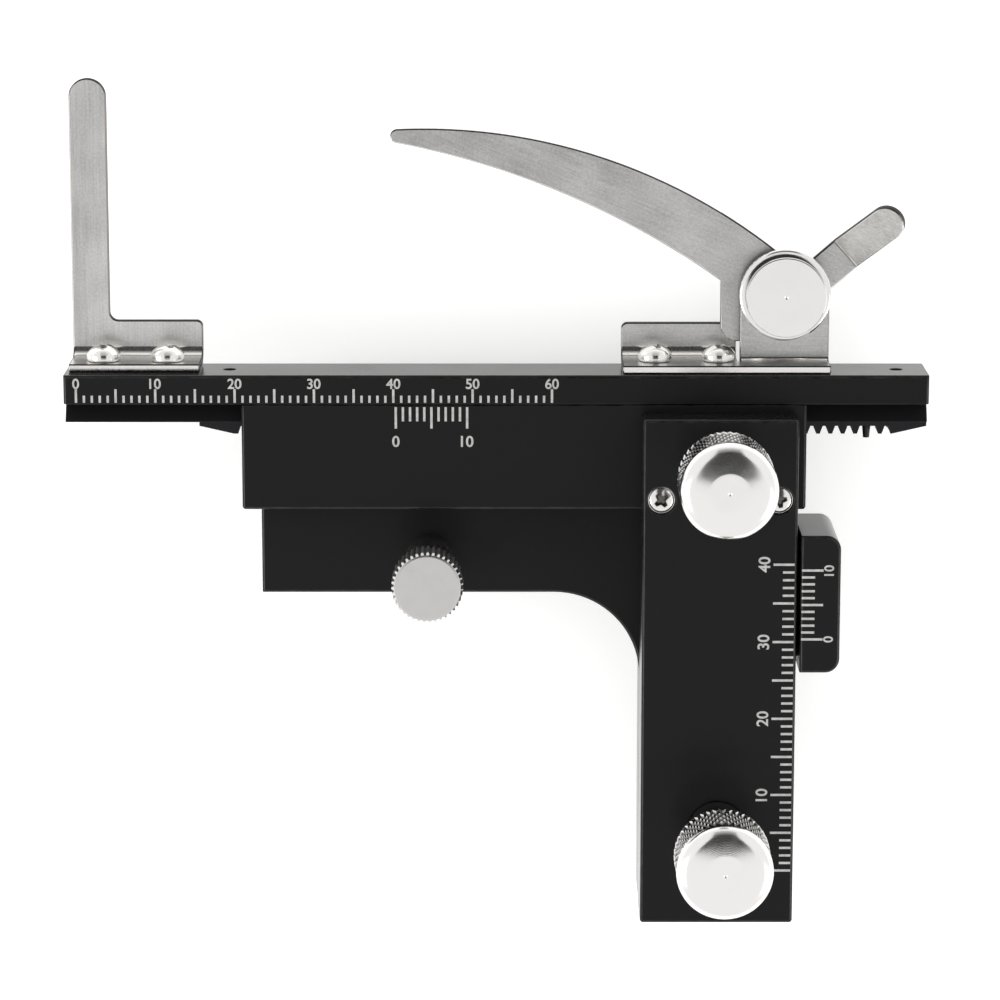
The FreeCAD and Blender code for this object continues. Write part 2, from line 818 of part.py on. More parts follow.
def build_x_rack():
    ramp = s.rack_ramp.value
    length = s.x_rack_length.value
    # The rack is drawn with its back on the tongue and its teeth towards -Y
    stop_along = (x_rack_right - stop_pin_x).value
    corners = rack_outline(length, stop_along, ramp, ramp, [0])
    height = s.x_rack_height.value
    wire = Part.makePolygon(corners + corners[:1])
    strip = Part.Face(wire).extrude(FreeCAD.Vector(0, 0, height))
    depth = rack_depth.value
    outwards = FreeCAD.Vector(0, 1, 0)
    pin_middle = FreeCAD.Vector(stop_along, 0, height / 2)
    strip = strip.cut(Part.makeCylinder(s.stop_pin_root.value / 2, depth, pin_middle, outwards))
    for along in (s.rack_screw_inset.value, length - s.rack_screw_inset.value):
        middle = FreeCAD.Vector(along, 0, height / 2)
        hole = Part.makeCylinder(s.rack_screw.value / 2, depth, middle, outwards)
        seat_radius = s.rack_screw_head.value / 2 + s.clamp_hole_gap.value
        seat_middle = middle + FreeCAD.Vector(0, s.rack_back.value, 0)
        seat = Part.makeCylinder(seat_radius, depth, seat_middle, outwards)
        strip = strip.cut(hole).cut(seat)
    piece = doc.addObject("Part::Feature", "x_rack")
    piece.Label = "x_rack"
    piece.Shape = strip
    piece.Placement = FreeCAD.Placement(
        FreeCAD.Vector(), FreeCAD.Rotation(FreeCAD.Vector(0, 0, 1), 180)
    )
    tie(piece, "Placement.Base.x", x_rack_right)
    tie(piece, "Placement.Base.y", x_tongue_face)
    tie(piece, "Placement.Base.z", rail_middle - s.x_rack_height / 2)
    keep(piece)


def rack_screw_places():
    return [x_rack_left + s.rack_screw_inset, x_rack_right - s.rack_screw_inset]


def build_x_rack_screws():
    for number, x in enumerate(rack_screw_places(), start=1):
        length = s.rack_back + s.x_tongue_depth + s.rail_depth - s.rack_screw_recess
        head = s.rack_screw_head
        screw = plain_head_screw(
            f"x_rack_screw_{number}", s.rack_screw, length, head, s.rack_screw_head_height
        )
        place(screw, x, x_tongue_face - s.rack_back, rail_middle, "-y")


def build_x_stop_pin():
    pin = doc.addObject("Part::Cone", "x_stop_pin")
    pin.Label = "x_stop_pin"
    tie(pin, "Radius1", s.stop_pin_root / 2)
    tie(pin, "Radius2", s.stop_pin_tip / 2)
    tie(pin, "Height", s.stop_pin_length)
    place(pin, stop_pin_x, x_tongue_face, rail_middle, "-y")
    keep(pin)


def build_pinions():
    rack_first = y_rack_end + pitch
    y_gap = gap_angle(0, rack_first - y_pinion_y)
    y_gear_bottom = s.rack_floor + s.pinion_floor_gap
    y_gear_height = s.y_rack_height - s.pinion_floor_gap - s.pinion_inset
    build_pinion_shaft("y_pinion_shaft", s.leg_offset, y_pinion_y, y_gear_bottom, y_gear_height, y_gap)

    x_gap = gap_angle(90, stop_pin_x - s.leg_offset)
    x_gear_bottom = rail_middle - s.x_rack_height / 2 + s.pinion_inset
    x_gear_height = s.x_rack_height - s.pinion_inset * 2
    build_pinion_shaft("x_pinion_shaft", s.leg_offset, x_pinion_y, x_gear_bottom, x_gear_height, x_gap)


# --------------------------------------------------------------------------- slide arm and knobs


def arm_screw_places():
    y = carriage_back + s.arm_screw_back
    half = s.arm_screw_spacing / 2
    return [(s.leg_offset - half, y), (s.leg_offset + half, y)]


def build_slide_arm():
    body = new_body("slide_arm")
    side = [
        (arm_end, arm_under),
        (carriage_back, arm_under),
        (carriage_back, carriage_top),
        (arm_front, carriage_top),
        (arm_front, arm_top),
        (arm_end, arm_top),
    ]
    add(body, "YZ_Plane", side, leg_left, leg_right)
    low_half = y_tongue_half + s.y_tongue_depth / flank
    tongue = [
        (s.leg_offset - low_half, y_tongue_bottom),
        (s.leg_offset + low_half, y_tongue_bottom),
        (s.leg_offset + y_tongue_half, arm_under),
        (s.leg_offset - y_tongue_half, arm_under),
    ]
    add(body, "XZ_Plane", tongue, arm_end, carriage_back)

    shafts = [(s.leg_offset, x_pinion_y), (s.leg_offset, y_pinion_y)]
    bore(body, "XY_Plane", shafts, s.bush / 2, bush_bottom, arm_top)
    bore(body, "XY_Plane", shafts[1:], shaft_hole, y_tongue_bottom, bush_bottom)
    screws = arm_screw_places()
    bore(body, "XY_Plane", screws, s.arm_screw / 2, carriage_top, arm_top)
    head_hole = s.arm_screw_head / 2 + s.clamp_hole_gap
    bore(body, "XY_Plane", screws, head_hole, arm_top - s.arm_screw_head_height, arm_top)

    def outer_edge(middle, run):
        full = run.Length > s.leg_width.value - SAME_PLACE
        along_top = near(middle.z, arm_top) and level(run) and full
        return along_top or (upright(run) and near(middle.x, leg_left, leg_right))

    chamfer(body, s.edge_break, outer_edge)


def build_arm_screws():
    for number, (x, y) in enumerate(arm_screw_places(), start=1):
        length = s.arm_screw_length
        head = s.arm_screw_head
        height = s.arm_screw_head_height
        screw = cross_head_screw(f"arm_screw_{number}", s.arm_screw, length, head, height)
        place(screw, x, y, arm_top - s.arm_screw_head_height)


def build_bush_and_knob(axis_name, y):
    bush = new_body(f"{axis_name}_pinion_bush")
    bore_radius = s.shaft / 2 + s.shaft_gap
    ring = rectangle(bore_radius, s.bush / 2, bush_bottom, bush_top)
    revolve(bush, ring)
    place(bush, s.leg_offset, y, zero)

    knob = new_body(f"{axis_name}_knob")
    total = s.knob_neck_length + s.knob_head
    head_bottom = s.knob_neck_length
    bevel = s.knob_chamfer
    grip = s.knob_neck_length + s.shaft_grip
    rim = total - s.knob_dome
    face = s.knob_diameter / 2 - bevel
    dome = (face * face + s.knob_dome * s.knob_dome) / (s.knob_dome * 2)
    profile = [
        (s.shaft / 2, zero),
        (s.knob_neck / 2, zero),
        (s.knob_neck / 2, head_bottom),
        (face, head_bottom),
        (s.knob_diameter / 2, head_bottom + bevel),
        (s.knob_diameter / 2, rim - bevel),
        (face, rim, dome, LEFT),
        (s.dimple / 2, total),
        (zero, total - s.dimple / 2),
        (zero, grip),
        (s.shaft / 2, grip),
    ]
    revolve(knob, profile)
    place(knob, s.leg_offset, y, knob_bottom)


# --------------------------------------------------------------------------- X carriage and rail


def build_x_carriage():
    body = new_body("x_carriage")
    left = s.leg_offset - s.carriage_left
    right = s.leg_offset + s.carriage_right
    tongue_end = x_tongue_face - s.slide_gap
    channel_end = x_tongue_face - s.stop_pin_length - s.rack_channel_gap
    mouth_half = x_tongue_half + s.carriage_gap / flank + flank_play
    wide_half = x_tongue_half + (rail_back - tongue_end) / flank + flank_play
    channel_half = s.x_rack_height / 2 + s.rack_channel_gap
    side = [
        (carriage_back, s.carriage_lift),
        (carriage_front, s.carriage_lift),
        (carriage_front, rail_middle - mouth_half),
        (tongue_end, rail_middle - wide_half),
        (tongue_end, rail_middle - channel_half),
        (channel_end, rail_middle - channel_half),
        (channel_end, rail_middle + channel_half),
        (tongue_end, rail_middle + channel_half),
        (tongue_end, rail_middle + wide_half),
        (carriage_front, rail_middle + mouth_half),
        (carriage_front, carriage_top),
        (carriage_back, carriage_top),
    ]
    add(body, "YZ_Plane", side, left, right)
    pocket_radius = pinion_outer + s.pinion_gap
    pinion_place = [(s.leg_offset, x_pinion_y)]
    bore(body, "XY_Plane", pinion_place, pocket_radius, rail_middle - channel_half, carriage_top)
    screw_end = arm_top - s.arm_screw_head_height - s.arm_screw_length
    bore(body, "XY_Plane", arm_screw_places(), s.arm_screw / 2, screw_end, carriage_top)

    def outer_edge(middle, run):
        face = near(middle.z, s.carriage_lift, carriage_top)
        at_back = near(middle.y, carriage_back)
        at_end = near(middle.x, left, right)
        return (level(run) and face and (at_back or at_end)) or (upright(run) and at_back)

    chamfer(body, s.edge_break, outer_edge)


def plate_screw_places():
    """The four screws of the two plates, as (name, x)."""
    fixed = finger_left + s.plate_screw_inset
    clamp = bracket_left + s.plate_screw_inset
    step = s.plate_screw_spacing
    return [
        ("fixed_finger_screw_1", fixed),
        ("fixed_finger_screw_2", fixed + step),
        ("clamp_bracket_screw_1", clamp),
        ("clamp_bracket_screw_2", clamp + step),
    ]


def build_x_rail():
    body = new_body("x_rail")
    wide_half = x_tongue_half + s.x_tongue_depth / flank
    side = [
        (rail_back, rail_bottom),
        (rail_front, rail_bottom),
        (rail_front, carriage_top),
        (rail_back, carriage_top),
        (rail_back, rail_middle + x_tongue_half),
        (x_tongue_face, rail_middle + wide_half),
        (x_tongue_face, rail_middle - wide_half),
        (rail_back, rail_middle - x_tongue_half),
    ]
    add(body, "YZ_Plane", side, rail_left, rail_right)
    screws = [(x, s.plate_screw_lift) for name, x in plate_screw_places()]
    bore(body, "XZ_Plane", screws, s.plate_screw / 2, rail_front - s.plate_screw_bite, rail_front)
    rack_holes = [(x, rail_middle) for x in rack_screw_places()]
    bore(body, "XZ_Plane", rack_holes, s.rack_screw / 2, x_tongue_face, rail_front)

    def outer_edge(middle, run):
        face = near(middle.z, rail_bottom, carriage_top)
        at_front = near(middle.y, rail_front)
        return level(run) and face and (at_front or near(middle.x, rail_left, rail_right))

    chamfer(body, s.edge_break, outer_edge)


# --------------------------------------------------------------------------- fingers


def bent_sheet(bottom, top, end, bend):
    """Side of a sheet angle: a flange against the rail, and a foot that runs out to end."""
    front = rail_front
    inner = bend - s.sheet
    return [
        (front, top),
        (front, bottom + bend, bend, LEFT),
        (front + bend, bottom),
        (end, bottom),
        (end, bottom + s.sheet),
        (front + bend, bottom + s.sheet, inner, RIGHT),
        (front + s.sheet, bottom + bend),
        (front + s.sheet, top),
    ]


def build_fixed_finger():
    body = new_body("fixed_finger")
    foot_end = rail_front + s.finger_foot
    flange_top = s.foot_lift + s.finger_flange_height
    angle = bent_sheet(s.foot_lift, flange_top, foot_end, s.foot_bend)
    add(body, "YZ_Plane", angle, finger_left, finger_right)
    half = s.blade_width / 2
    tip = rail_front + s.blade_length
    blade = [
        (finger_left, rail_front + s.foot_bend),
        (blade_right, rail_front + s.foot_bend),
        (blade_right, tip - half, half, LEFT),
        (blade_right - half, tip, half, LEFT),
        (finger_left, tip - half),
    ]
    add(body, "XY_Plane", blade, s.foot_lift, foot_top)
    screws = [(x, s.plate_screw_lift) for name, x in plate_screw_places()[:2]]
    bore(body, "XZ_Plane", screws, s.plate_screw / 2, rail_front, rail_front + s.sheet)

    def free_corner(middle, run):
        return upright(run) and near(middle.x, finger_right) and near(middle.y, foot_end)

    def inner_corner(middle, run):
        return upright(run) and near(middle.x, blade_right) and near(middle.y, foot_end)

    fillet(body, s.foot_corner, free_corner)
    fillet(body, s.blade_corner, inner_corner)


def build_clamp_bracket():
    body = new_body("clamp_bracket")
    foot_end = rail_front + s.bracket_foot
    flange_top = s.foot_lift + s.bracket_flange_height
    foot = bent_sheet(s.foot_lift, flange_top, foot_end, s.foot_bend)
    add(body, "YZ_Plane", foot, bracket_left, foot_right)
    ear = bent_sheet(ear_bottom, flange_top, pivot_y, s.bend)
    add(body, "YZ_Plane", ear, ear_left, bracket_right)
    bridge = rectangle(rail_front, rail_front + s.sheet, ear_bottom + s.bend, flange_top)
    add(body, "YZ_Plane", bridge, foot_right, ear_left)
    add_disc(body, pivot_x, pivot_y, s.ear_width / 2, ear_bottom, ear_top)
    screws = [(x, s.plate_screw_lift) for name, x in plate_screw_places()[2:]]
    bore(body, "XZ_Plane", screws, s.plate_screw / 2, rail_front, rail_front + s.sheet)
    bore(body, "XY_Plane", [(pivot_x, pivot_y)], s.pivot_screw / 2, ear_bottom, ear_top)

    def free_corner(middle, run):
        return upright(run) and near(middle.y, foot_end)

    fillet(body, s.foot_corner, free_corner)


def build_plate_screws():
    for name, x in plate_screw_places():
        length = s.sheet + s.plate_screw_bite
        head = s.plate_screw_head
        screw = cross_head_screw(name, s.plate_screw, length, head, s.plate_screw_head_height)
        place(screw, x, rail_front + s.sheet, s.plate_screw_lift, "+y")


def build_pivot():
    shank = ear_top + s.cap_grip - s.foot_lift - s.pivot_head_height
    screw = cross_head_screw("pivot_screw", s.pivot_screw, shank, s.pivot_head, s.pivot_head_height)
    place(screw, pivot_x, pivot_y, s.foot_lift + s.pivot_head_height, "-z")

    spacer = new_body("finger_spacer")
    ring = rectangle(s.pivot_screw / 2, s.spacer / 2, hub_top + s.pivot_gap, ear_bottom)
    revolve(spacer, ring)
    place(spacer, pivot_x, pivot_y, zero)

    cap = new_body("spring_cap")
    bevel = s.cap_chamfer
    rim = s.cap_height - s.cap_shoulder
    profile = [
        (s.pivot_screw / 2, zero),
        (s.cap / 2 - bevel, zero),
        (s.cap / 2, bevel),
        (s.cap / 2, rim - bevel),
        (s.cap / 2 - bevel, rim),
        (s.cap_face / 2, s.cap_height),
        (s.dimple / 2, s.cap_height),
        (zero, s.cap_height - s.dimple / 2),
        (zero, s.cap_grip),
        (s.pivot_screw / 2, s.cap_grip),
    ]
    revolve(cap, profile)
    place(cap, pivot_x, pivot_y, ear_top)


def build_spring_finger():
    body = new_body("spring_finger")
    left = pivot_x - s.hub_left
    right = pivot_x + s.hub_right
    back = pivot_y - s.hub_back
    tip_x = pivot_x - s.tip_x
    tip_y = pivot_y + s.tip_y
    tip_end = tip_x - s.tip_round
    plan = [
        (left, back),
        (right, back),
        (right, pivot_y),
        (pivot_x + s.crown_x, pivot_y + s.crown_y, s.outer_curve, LEFT),
        (tip_x, tip_y, s.tip_round, LEFT),
        (tip_end, tip_y - s.tip_width / 2, s.tip_round, LEFT),
        (tip_x, tip_y - s.tip_width, s.inner_curve, RIGHT),
        (left, pivot_y + s.hub_shoulder),
    ]
    add(body, "XY_Plane", plan, s.foot_lift, hub_top)

    # The blade slopes from the hub down to its tip, which rests at the height of the fixed finger
    spare = s.sheet
    above = [
        (left, hub_top),
        (left, hub_top + spare),
        (tip_end - spare, hub_top + spare),
        (tip_end - spare, foot_top),
        (tip_end, foot_top),
    ]
    below = [
        (tip_end, s.foot_lift),
        (tip_end, s.foot_lift - spare),
        (right + spare, s.foot_lift - spare),
        (right + spare, hub_bottom),
        (left, hub_bottom),
    ]
    remove(body, "XZ_Plane", above, back - spare, tip_y + spare)
    remove(body, "XZ_Plane", below, back - spare, tip_y + spare)

    # The tail runs from the hub to a fold, and its tab is bent up for the fingertip
    along_x = trig("cos", s.tail_angle)
    along_y = trig("sin", s.tail_angle)
    fold_x = pivot_x + s.tail_x
    fold_y = pivot_y + s.tail_y
    half = s.tail_width / 2
    root_x = fold_x - along_x * s.tail_root
    root_y = fold_y - along_y * s.tail_root
    tail = [
        (root_x + along_y * half, root_y - along_x * half),
        (fold_x + along_y * half, fold_y - along_x * half),
        (fold_x - along_y * half, fold_y + along_x * half),
        (root_x - along_y * half, root_y + along_x * half),
    ]
    add(body, "XY_Plane", tail, hub_bottom, hub_top)
    tab_sketch = sketch_on(body, "XY_Plane", hub_bottom)
    turn = FreeCAD.Rotation(FreeCAD.Vector(0, 0, 1), s.tail_angle.value)
    tilt = FreeCAD.Rotation(FreeCAD.Vector(0, 1, 0), -s.tab_rise.value)
    tab_sketch.AttachmentOffset = FreeCAD.Placement(FreeCAD.Vector(), turn * tilt)
    tie(tab_sketch, "AttachmentOffset.Base.x", fold_x)
    tie(tab_sketch, "AttachmentOffset.Base.y", fold_y)
    tie(tab_sketch, "AttachmentOffset.Base.z", hub_bottom)
    tab = [
        (zero, -half),
        (s.tab_length - half, -half, half, LEFT),
        (s.tab_length, zero, half, LEFT),
        (s.tab_length - half, half),
        (zero, half),
    ]
    draw_outline(tab_sketch, tab)
    run_feature(body, "Pad", tab_sketch, s.sheet)

    hole = s.pivot_screw / 2 + s.pivot_gap
    bore(body, "XY_Plane", [(pivot_x, pivot_y)], hole, hub_bottom, hub_top)

    def hub_corner(middle, run):
        return upright(run) and near(middle.x, left, right) and near(middle.y, back)

    fillet(body, s.hub_corner, hub_corner)


# --------------------------------------------------------------------------- build and write

build_base_plate()
build_locating_pins()
build_clamp_screw()
build_y_stop_screw()
build_vernier_block()
build_y_rack()
build_x_rack()
build_x_rack_screws()
build_x_stop_pin()
build_pinions()
build_slide_arm()
build_arm_screws()
build_bush_and_knob("x", x_pinion_y)
build_bush_and_knob("y", y_pinion_y)
build_x_carriage()
build_x_rail()
build_fixed_finger()
build_clamp_bracket()
build_plate_screws()
build_pivot()
build_spring_finger()
doc.recompute()

for thing in doc.Objects:
    if "Invalid" in thing.State or "Error" in thing.State:
        raise RuntimeError(f"{thing.Label} failed: {thing.State}")
for piece in pieces:
    if piece.Shape.isNull() or not piece.Shape.isValid():
        raise RuntimeError(f"{piece.Label} has no valid shape")

os.makedirs("parts", exist_ok=True)
for piece in pieces:
    piece.Shape.exportStep(f"parts/{piece.Label}.step")
    print(f"{piece.Label}: {len(piece.Shape.Solids)} solid, {piece.Shape.Volume:.2f} mm3")
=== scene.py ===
import math

import bmesh
import bpy
from mathutils import Matrix, Vector


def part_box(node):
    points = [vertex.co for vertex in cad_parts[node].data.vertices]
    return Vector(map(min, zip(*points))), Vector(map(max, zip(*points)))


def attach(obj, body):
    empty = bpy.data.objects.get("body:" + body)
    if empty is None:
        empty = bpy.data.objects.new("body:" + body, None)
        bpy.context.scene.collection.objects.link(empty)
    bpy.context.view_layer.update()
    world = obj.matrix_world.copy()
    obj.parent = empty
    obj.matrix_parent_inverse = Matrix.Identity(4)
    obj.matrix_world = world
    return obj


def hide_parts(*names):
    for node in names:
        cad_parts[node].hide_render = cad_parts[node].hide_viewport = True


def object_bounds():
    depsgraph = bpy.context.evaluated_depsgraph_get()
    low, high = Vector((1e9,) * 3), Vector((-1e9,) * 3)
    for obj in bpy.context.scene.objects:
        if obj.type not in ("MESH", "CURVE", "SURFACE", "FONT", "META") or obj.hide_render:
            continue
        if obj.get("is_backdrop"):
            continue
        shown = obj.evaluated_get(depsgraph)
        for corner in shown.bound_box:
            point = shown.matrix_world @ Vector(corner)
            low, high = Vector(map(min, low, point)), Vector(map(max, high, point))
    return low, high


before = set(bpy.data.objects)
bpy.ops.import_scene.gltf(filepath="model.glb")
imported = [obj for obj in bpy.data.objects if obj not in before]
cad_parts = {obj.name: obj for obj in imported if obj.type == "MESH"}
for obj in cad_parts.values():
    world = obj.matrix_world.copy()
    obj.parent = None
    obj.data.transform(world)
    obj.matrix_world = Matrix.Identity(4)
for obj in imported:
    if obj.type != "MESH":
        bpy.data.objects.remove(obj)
cad_low, cad_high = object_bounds()


# ------------------------------------------------------------------ camera, table and light
# The stage lies on a sheet of white card in a light tent. The tent is open in front, from the
# camera overhead down towards the table, and that dark gap is what the polished knobs mirror.

MM = 0.001
CAMERA_TILT = math.radians(11.6)
CAMERA_REACH = 516 * MM
AIM = Vector((9.0, 7.0, 5.0)) * MM
TABLE_REACH = 1.6
CARD_WHITE = "#e4e4e2"
CARD_GRAIN = 0.6 * MM
GAP_REACH = 2.0
GAP_HALF_WIDTH = math.radians(18)
GAP_FROM = math.radians(-3)  # behind the zenith
GAP_TO = math.radians(76)  # in front of it
GAP_FADE = math.radians(44)  # from here down, the gap glows brighter as painted light from the table
GAP_ASIDE = math.radians(3)  # the tent stands askew


def linear(colour, alpha=1.0):
    """An sRGB hex colour as the linear values that a shader wants."""
    levels = [int(colour[i:i + 2], 16) / 255 for i in (1, 3, 5)]
    return [v / 12.92 if v <= 0.04045 else ((v + 0.055) / 1.055) ** 2.4 for v in levels] + [alpha]


def node(tree, kind, inputs=None, **settings):
    """Adds a shader node. Its inputs are plain values, or outputs of other nodes to link."""
    made = tree.nodes.new("ShaderNode" + kind)
    for name, value in settings.items():
        setattr(made, name, value)
    for name, value in (inputs or {}).items():
        if isinstance(value, bpy.types.NodeSocket):
            tree.links.new(value, made.inputs[name])
        else:
            made.inputs[name].default_value = value
    return made


def blank_material(name):
    made = bpy.data.materials.new(name)
    made.use_nodes = True
    made.node_tree.nodes.clear()
    return made


def mesh_piece(name, bm, materials):
    """An object from a finished bmesh, standing at the origin."""
    mesh = bpy.data.meshes.new(name)
    bm.to_mesh(mesh)
    bm.free()
    piece = bpy.data.objects.new(name, mesh)
    bpy.context.scene.collection.objects.link(piece)
    for material in materials:
        mesh.materials.append(material)
    return piece


# White card: uncoated paper, so it is matt, with a faint mottle of its fibres
white_card = blank_material("white_card")
tree = white_card.node_tree
place = node(tree, "TexCoord").outputs["Object"]
mottle = node(tree, "TexNoise", {"Vector": place, "Scale": 1 / CARD_GRAIN, "Detail": 4.0})
relief = node(tree, "Bump", {"Height": mottle.outputs[0], "Strength": 0.3, "Distance": 0.01 * MM})
paper = node(tree, "BsdfPrincipled", {
    "Base Color": linear(CARD_WHITE), "Roughness": 0.85, "Normal": relief.outputs[0],
    "Emission Color": linear("#ffffff"), "Emission Strength": 0.45,
})
node(tree, "OutputMaterial", {"Surface": paper.outputs[0]})

bm = bmesh.new()
bmesh.ops.create_grid(bm, x_segments=2, y_segments=2, size=TABLE_REACH)
bmesh.ops.translate(bm, verts=bm.verts, vec=(0, 0, cad_low.z))
table = mesh_piece("table", bm, [white_card])
table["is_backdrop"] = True

# Dark gap: a sheet seen only in reflections that stands for black cloth behind the opening; it glows
# as painted light, brighter lower down where the table's light would reach it
painted_glow_gap_cloth = blank_material("painted_glow_gap_cloth")
tree = painted_glow_gap_cloth.node_tree
place = node(tree, "TexCoord").outputs["Object"]
parts = node(tree, "SeparateXYZ", {0: place})
light = node(tree, "MapRange", {
    "Value": parts.outputs["Z"], "From Min": GAP_REACH * math.cos(GAP_FADE),
    "From Max": GAP_REACH * math.cos(GAP_TO),
})
tone = node(tree, "Mix", {0: light.outputs[0], 6: linear("#404040"), 7: linear("#d8d8d8")},
            data_type="RGBA")
glow = node(tree, "Emission", {"Color": tone.outputs[2]})
node(tree, "OutputMaterial", {"Surface": glow.outputs[0]})

bm = bmesh.new()
bmesh.ops.create_grid(bm, x_segments=8, y_segments=24, size=1.0)
for vert in bm.verts:
    rise = GAP_FROM + (GAP_TO - GAP_FROM) * (vert.co.y + 1) / 2
    aside = GAP_ASIDE + GAP_HALF_WIDTH * vert.co.x
    vert.co = GAP_REACH * Vector((math.tan(aside), math.sin(rise), math.cos(rise)))
gap = mesh_piece("tent_gap", bm, [painted_glow_gap_cloth])
gap.visible_camera = False
gap.visible_shadow = False
gap.visible_diffuse = False
gap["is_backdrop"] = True

tent = bpy.data.worlds.new("light_tent")
tent.use_nodes = True
bpy.context.scene.world = tent
tree = tent.node_tree
tree.nodes.clear()
cloth = node(tree, "Background", {"Color": linear("#ffffff"), "Strength": 1.0})
node(tree, "OutputWorld", {"Surface": cloth.outputs[0]})


def softbox(name, place, width, power):
    """A square soft light that faces the stage."""
    lamp = bpy.data.lights.new(name, "AREA")
    lamp.size = width
    lamp.energy = power
    holder = bpy.data.objects.new(name, lamp)
    bpy.context.scene.collection.objects.link(holder)
    holder.location = place
    holder.rotation_euler = (AIM - Vector(place)).to_track_quat("-Z", "Y").to_euler()


softbox("left_softbox", (-0.90, -0.25, 0.55), 0.60, 4.0)
softbox("right_softbox", (0.85, -0.40, 0.45), 0.50, 2.0)

camera = bpy.data.objects.new("camera", bpy.data.cameras.new("camera"))
bpy.context.scene.collection.objects.link(camera)
camera.data.sensor_width = 36.0
camera.data.lens = 145.0
camera.data.clip_start = 0.01
camera.location = AIM + CAMERA_REACH * Vector((0, math.sin(CAMERA_TILT), math.cos(CAMERA_TILT)))
camera.rotation_euler = (-CAMERA_TILT, 0, 0)
bpy.context.scene.camera = camera
bpy.context.scene.view_settings.view_transform = "Standard"


# ------------------------------------------------------------------ base plate
# An L-shaped bar of milled brass that is clamped on the microscope's stage, with the Y channel
# milled along its leg. It is finished in baked black enamel, like all the large pieces.

EDGE_WEAR = 0.1 * MM  # width that tumbling takes off a sharp edge
SHARP = math.radians(20)  # an edge that turns more than this is a corner
FLAT = math.radians(0.4)
SAME_SPOT = 0.002 * MM

# Baked enamel: a thin even coat, so it is satin, with a fine orange peel and no bare metal
black_enamel = blank_material("satin_black_enamel")
tree = black_enamel.node_tree
place = node(tree, "TexCoord").outputs["Object"]
peel = node(tree, "TexNoise", {"Vector": place, "Scale": 1 / (0.35 * MM), "Detail": 3.0})
cloud = node(tree, "TexNoise", {"Vector": place, "Scale": 1 / (9 * MM), "Detail": 2.0})
sheen = node(tree, "MapRange", {"Value": cloud.outputs[0], "To Min": 0.2, "To Max": 0.3})
relief = node(tree, "Bump", {"Height": peel.outputs[0], "Strength": 0.35, "Distance": 0.012 * MM})
enamel = node(tree, "BsdfPrincipled", {
    "Base Color": linear("#1a1a1b"), "Roughness": sheen.outputs[0], "IOR": 1.5,
    "Specular IOR Level": 0.07, "Coat Weight": 0.9, "Coat Roughness": 0.22, "Coat IOR": 1.08,
    "Normal": relief.outputs[0],
})
node(tree, "OutputMaterial", {"Surface": enamel.outputs[0]})

# The same enamel rubbed thin over the edges: smoother, and a shade lighter
rubbed_enamel = blank_material("rubbed_black_enamel")
tree = rubbed_enamel.node_tree
place = node(tree, "TexCoord").outputs["Object"]
rub = node(tree, "TexNoise", {"Vector": place, "Scale": 1 / (1.6 * MM), "Detail": 4.0})
shade = node(tree, "MapRange", {"Value": rub.outputs[0], "From Min": 0.35, "From Max": 0.7})
tone = node(tree, "Mix", {0: shade.outputs[0], 6: linear("#0f0f10"), 7: linear("#2b2a29")},
            data_type="RGBA")
enamel = node(tree, "BsdfPrincipled", {
    "Base Color": tone.outputs[2], "Roughness": 0.22, "IOR": 1.5, "Specular IOR Level": 0.3,
})
node(tree, "OutputMaterial", {"Surface": enamel.outputs[0]})


def shade_by_angle(bm):
    """Smooth shading that stops at every corner."""
    for face in bm.faces:
        face.smooth = True
    for edge in bm.edges:
        edge.smooth = edge.calc_face_angle(0) < SHARP


def merged_copy(cad_node):
    """A copy of a CAD node's mesh with its triangles joined into flat faces."""
    bm = bmesh.new()
    bm.from_mesh(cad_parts[cad_node].data)
    bmesh.ops.remove_doubles(bm, verts=bm.verts, dist=SAME_SPOT)
    bmesh.ops.dissolve_limit(bm, angle_limit=FLAT, verts=bm.verts, edges=bm.edges)
    for face in bm.faces:
        face.material_index = 0
    return bm


def ease(bm, width, segments, finish):
    """Rounds every corner. The rounded edges take the material numbered finish."""
    corners = [edge for edge in bm.edges if edge.calc_face_angle(0) > SHARP]
    made = bmesh.ops.bevel(bm, geom=corners, offset=width, offset_type="OFFSET",
                           segments=segments, profile=0.5, affect="EDGES", clamp_overlap=False,
                           material=-1)
    shade_by_angle(bm)
    rounded = set(made["faces"])
    for face in rounded:
        face.material_index = finish
    for edge in bm.edges:
        inside = [face in rounded for face in edge.link_faces]
        if all(inside):
            edge.smooth = edge.calc_face_angle(0) < 2 * SHARP
        elif any(inside):
            edge.smooth = False


def eased(cad_node, name, materials, width=EDGE_WEAR):
    """A machined piece with its sharp edges eased. The eased edges take the last material."""
    bm = merged_copy(cad_node)
    ease(bm, width, 2, len(materials) - 1)
    return mesh_piece(name, bm, materials)


def fit(piece, body, slot, *nodes):
    """Hangs a piece on its body, in place of the nodes that it stands for."""
    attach(piece, body)
    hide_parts(*nodes)


def coat(cad_node, material):
    """Finishes a CAD piece that is shown as it is."""
    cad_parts[cad_node].data.materials[0] = material


base = eased("base_plate", "base_plate_enamelled", [black_enamel, rubbed_enamel])
fit(base, "base", "black_finish", "base_plate")


# ------------------------------------------------------------------ locating pins
# Two short steel pins, pressed into the underside of the bar, that stand in holes of the
# microscope's stage. They are chemically blacked.

# Blacked steel: the steel's own shine shows dimly through a dark oxide
blacked_steel = blank_material("blacked_steel")
tree = blacked_steel.node_tree
place = node(tree, "TexCoord").outputs["Object"]
patch = node(tree, "TexNoise", {"Vector": place, "Scale": 1 / (0.8 * MM), "Detail": 3.0})
rough = node(tree, "MapRange", {"Value": patch.outputs[0], "To Min": 0.32, "To Max": 0.55})
oxide = node(tree, "BsdfPrincipled", {
    "Base Color": linear("#3a3a3d"), "Metallic": 1.0, "Roughness": rough.outputs[0],
})
node(tree, "OutputMaterial", {"Surface": oxide.outputs[0]})

for side in ("left", "right"):
    coat(f"locating_pin_{side}", blacked_steel)


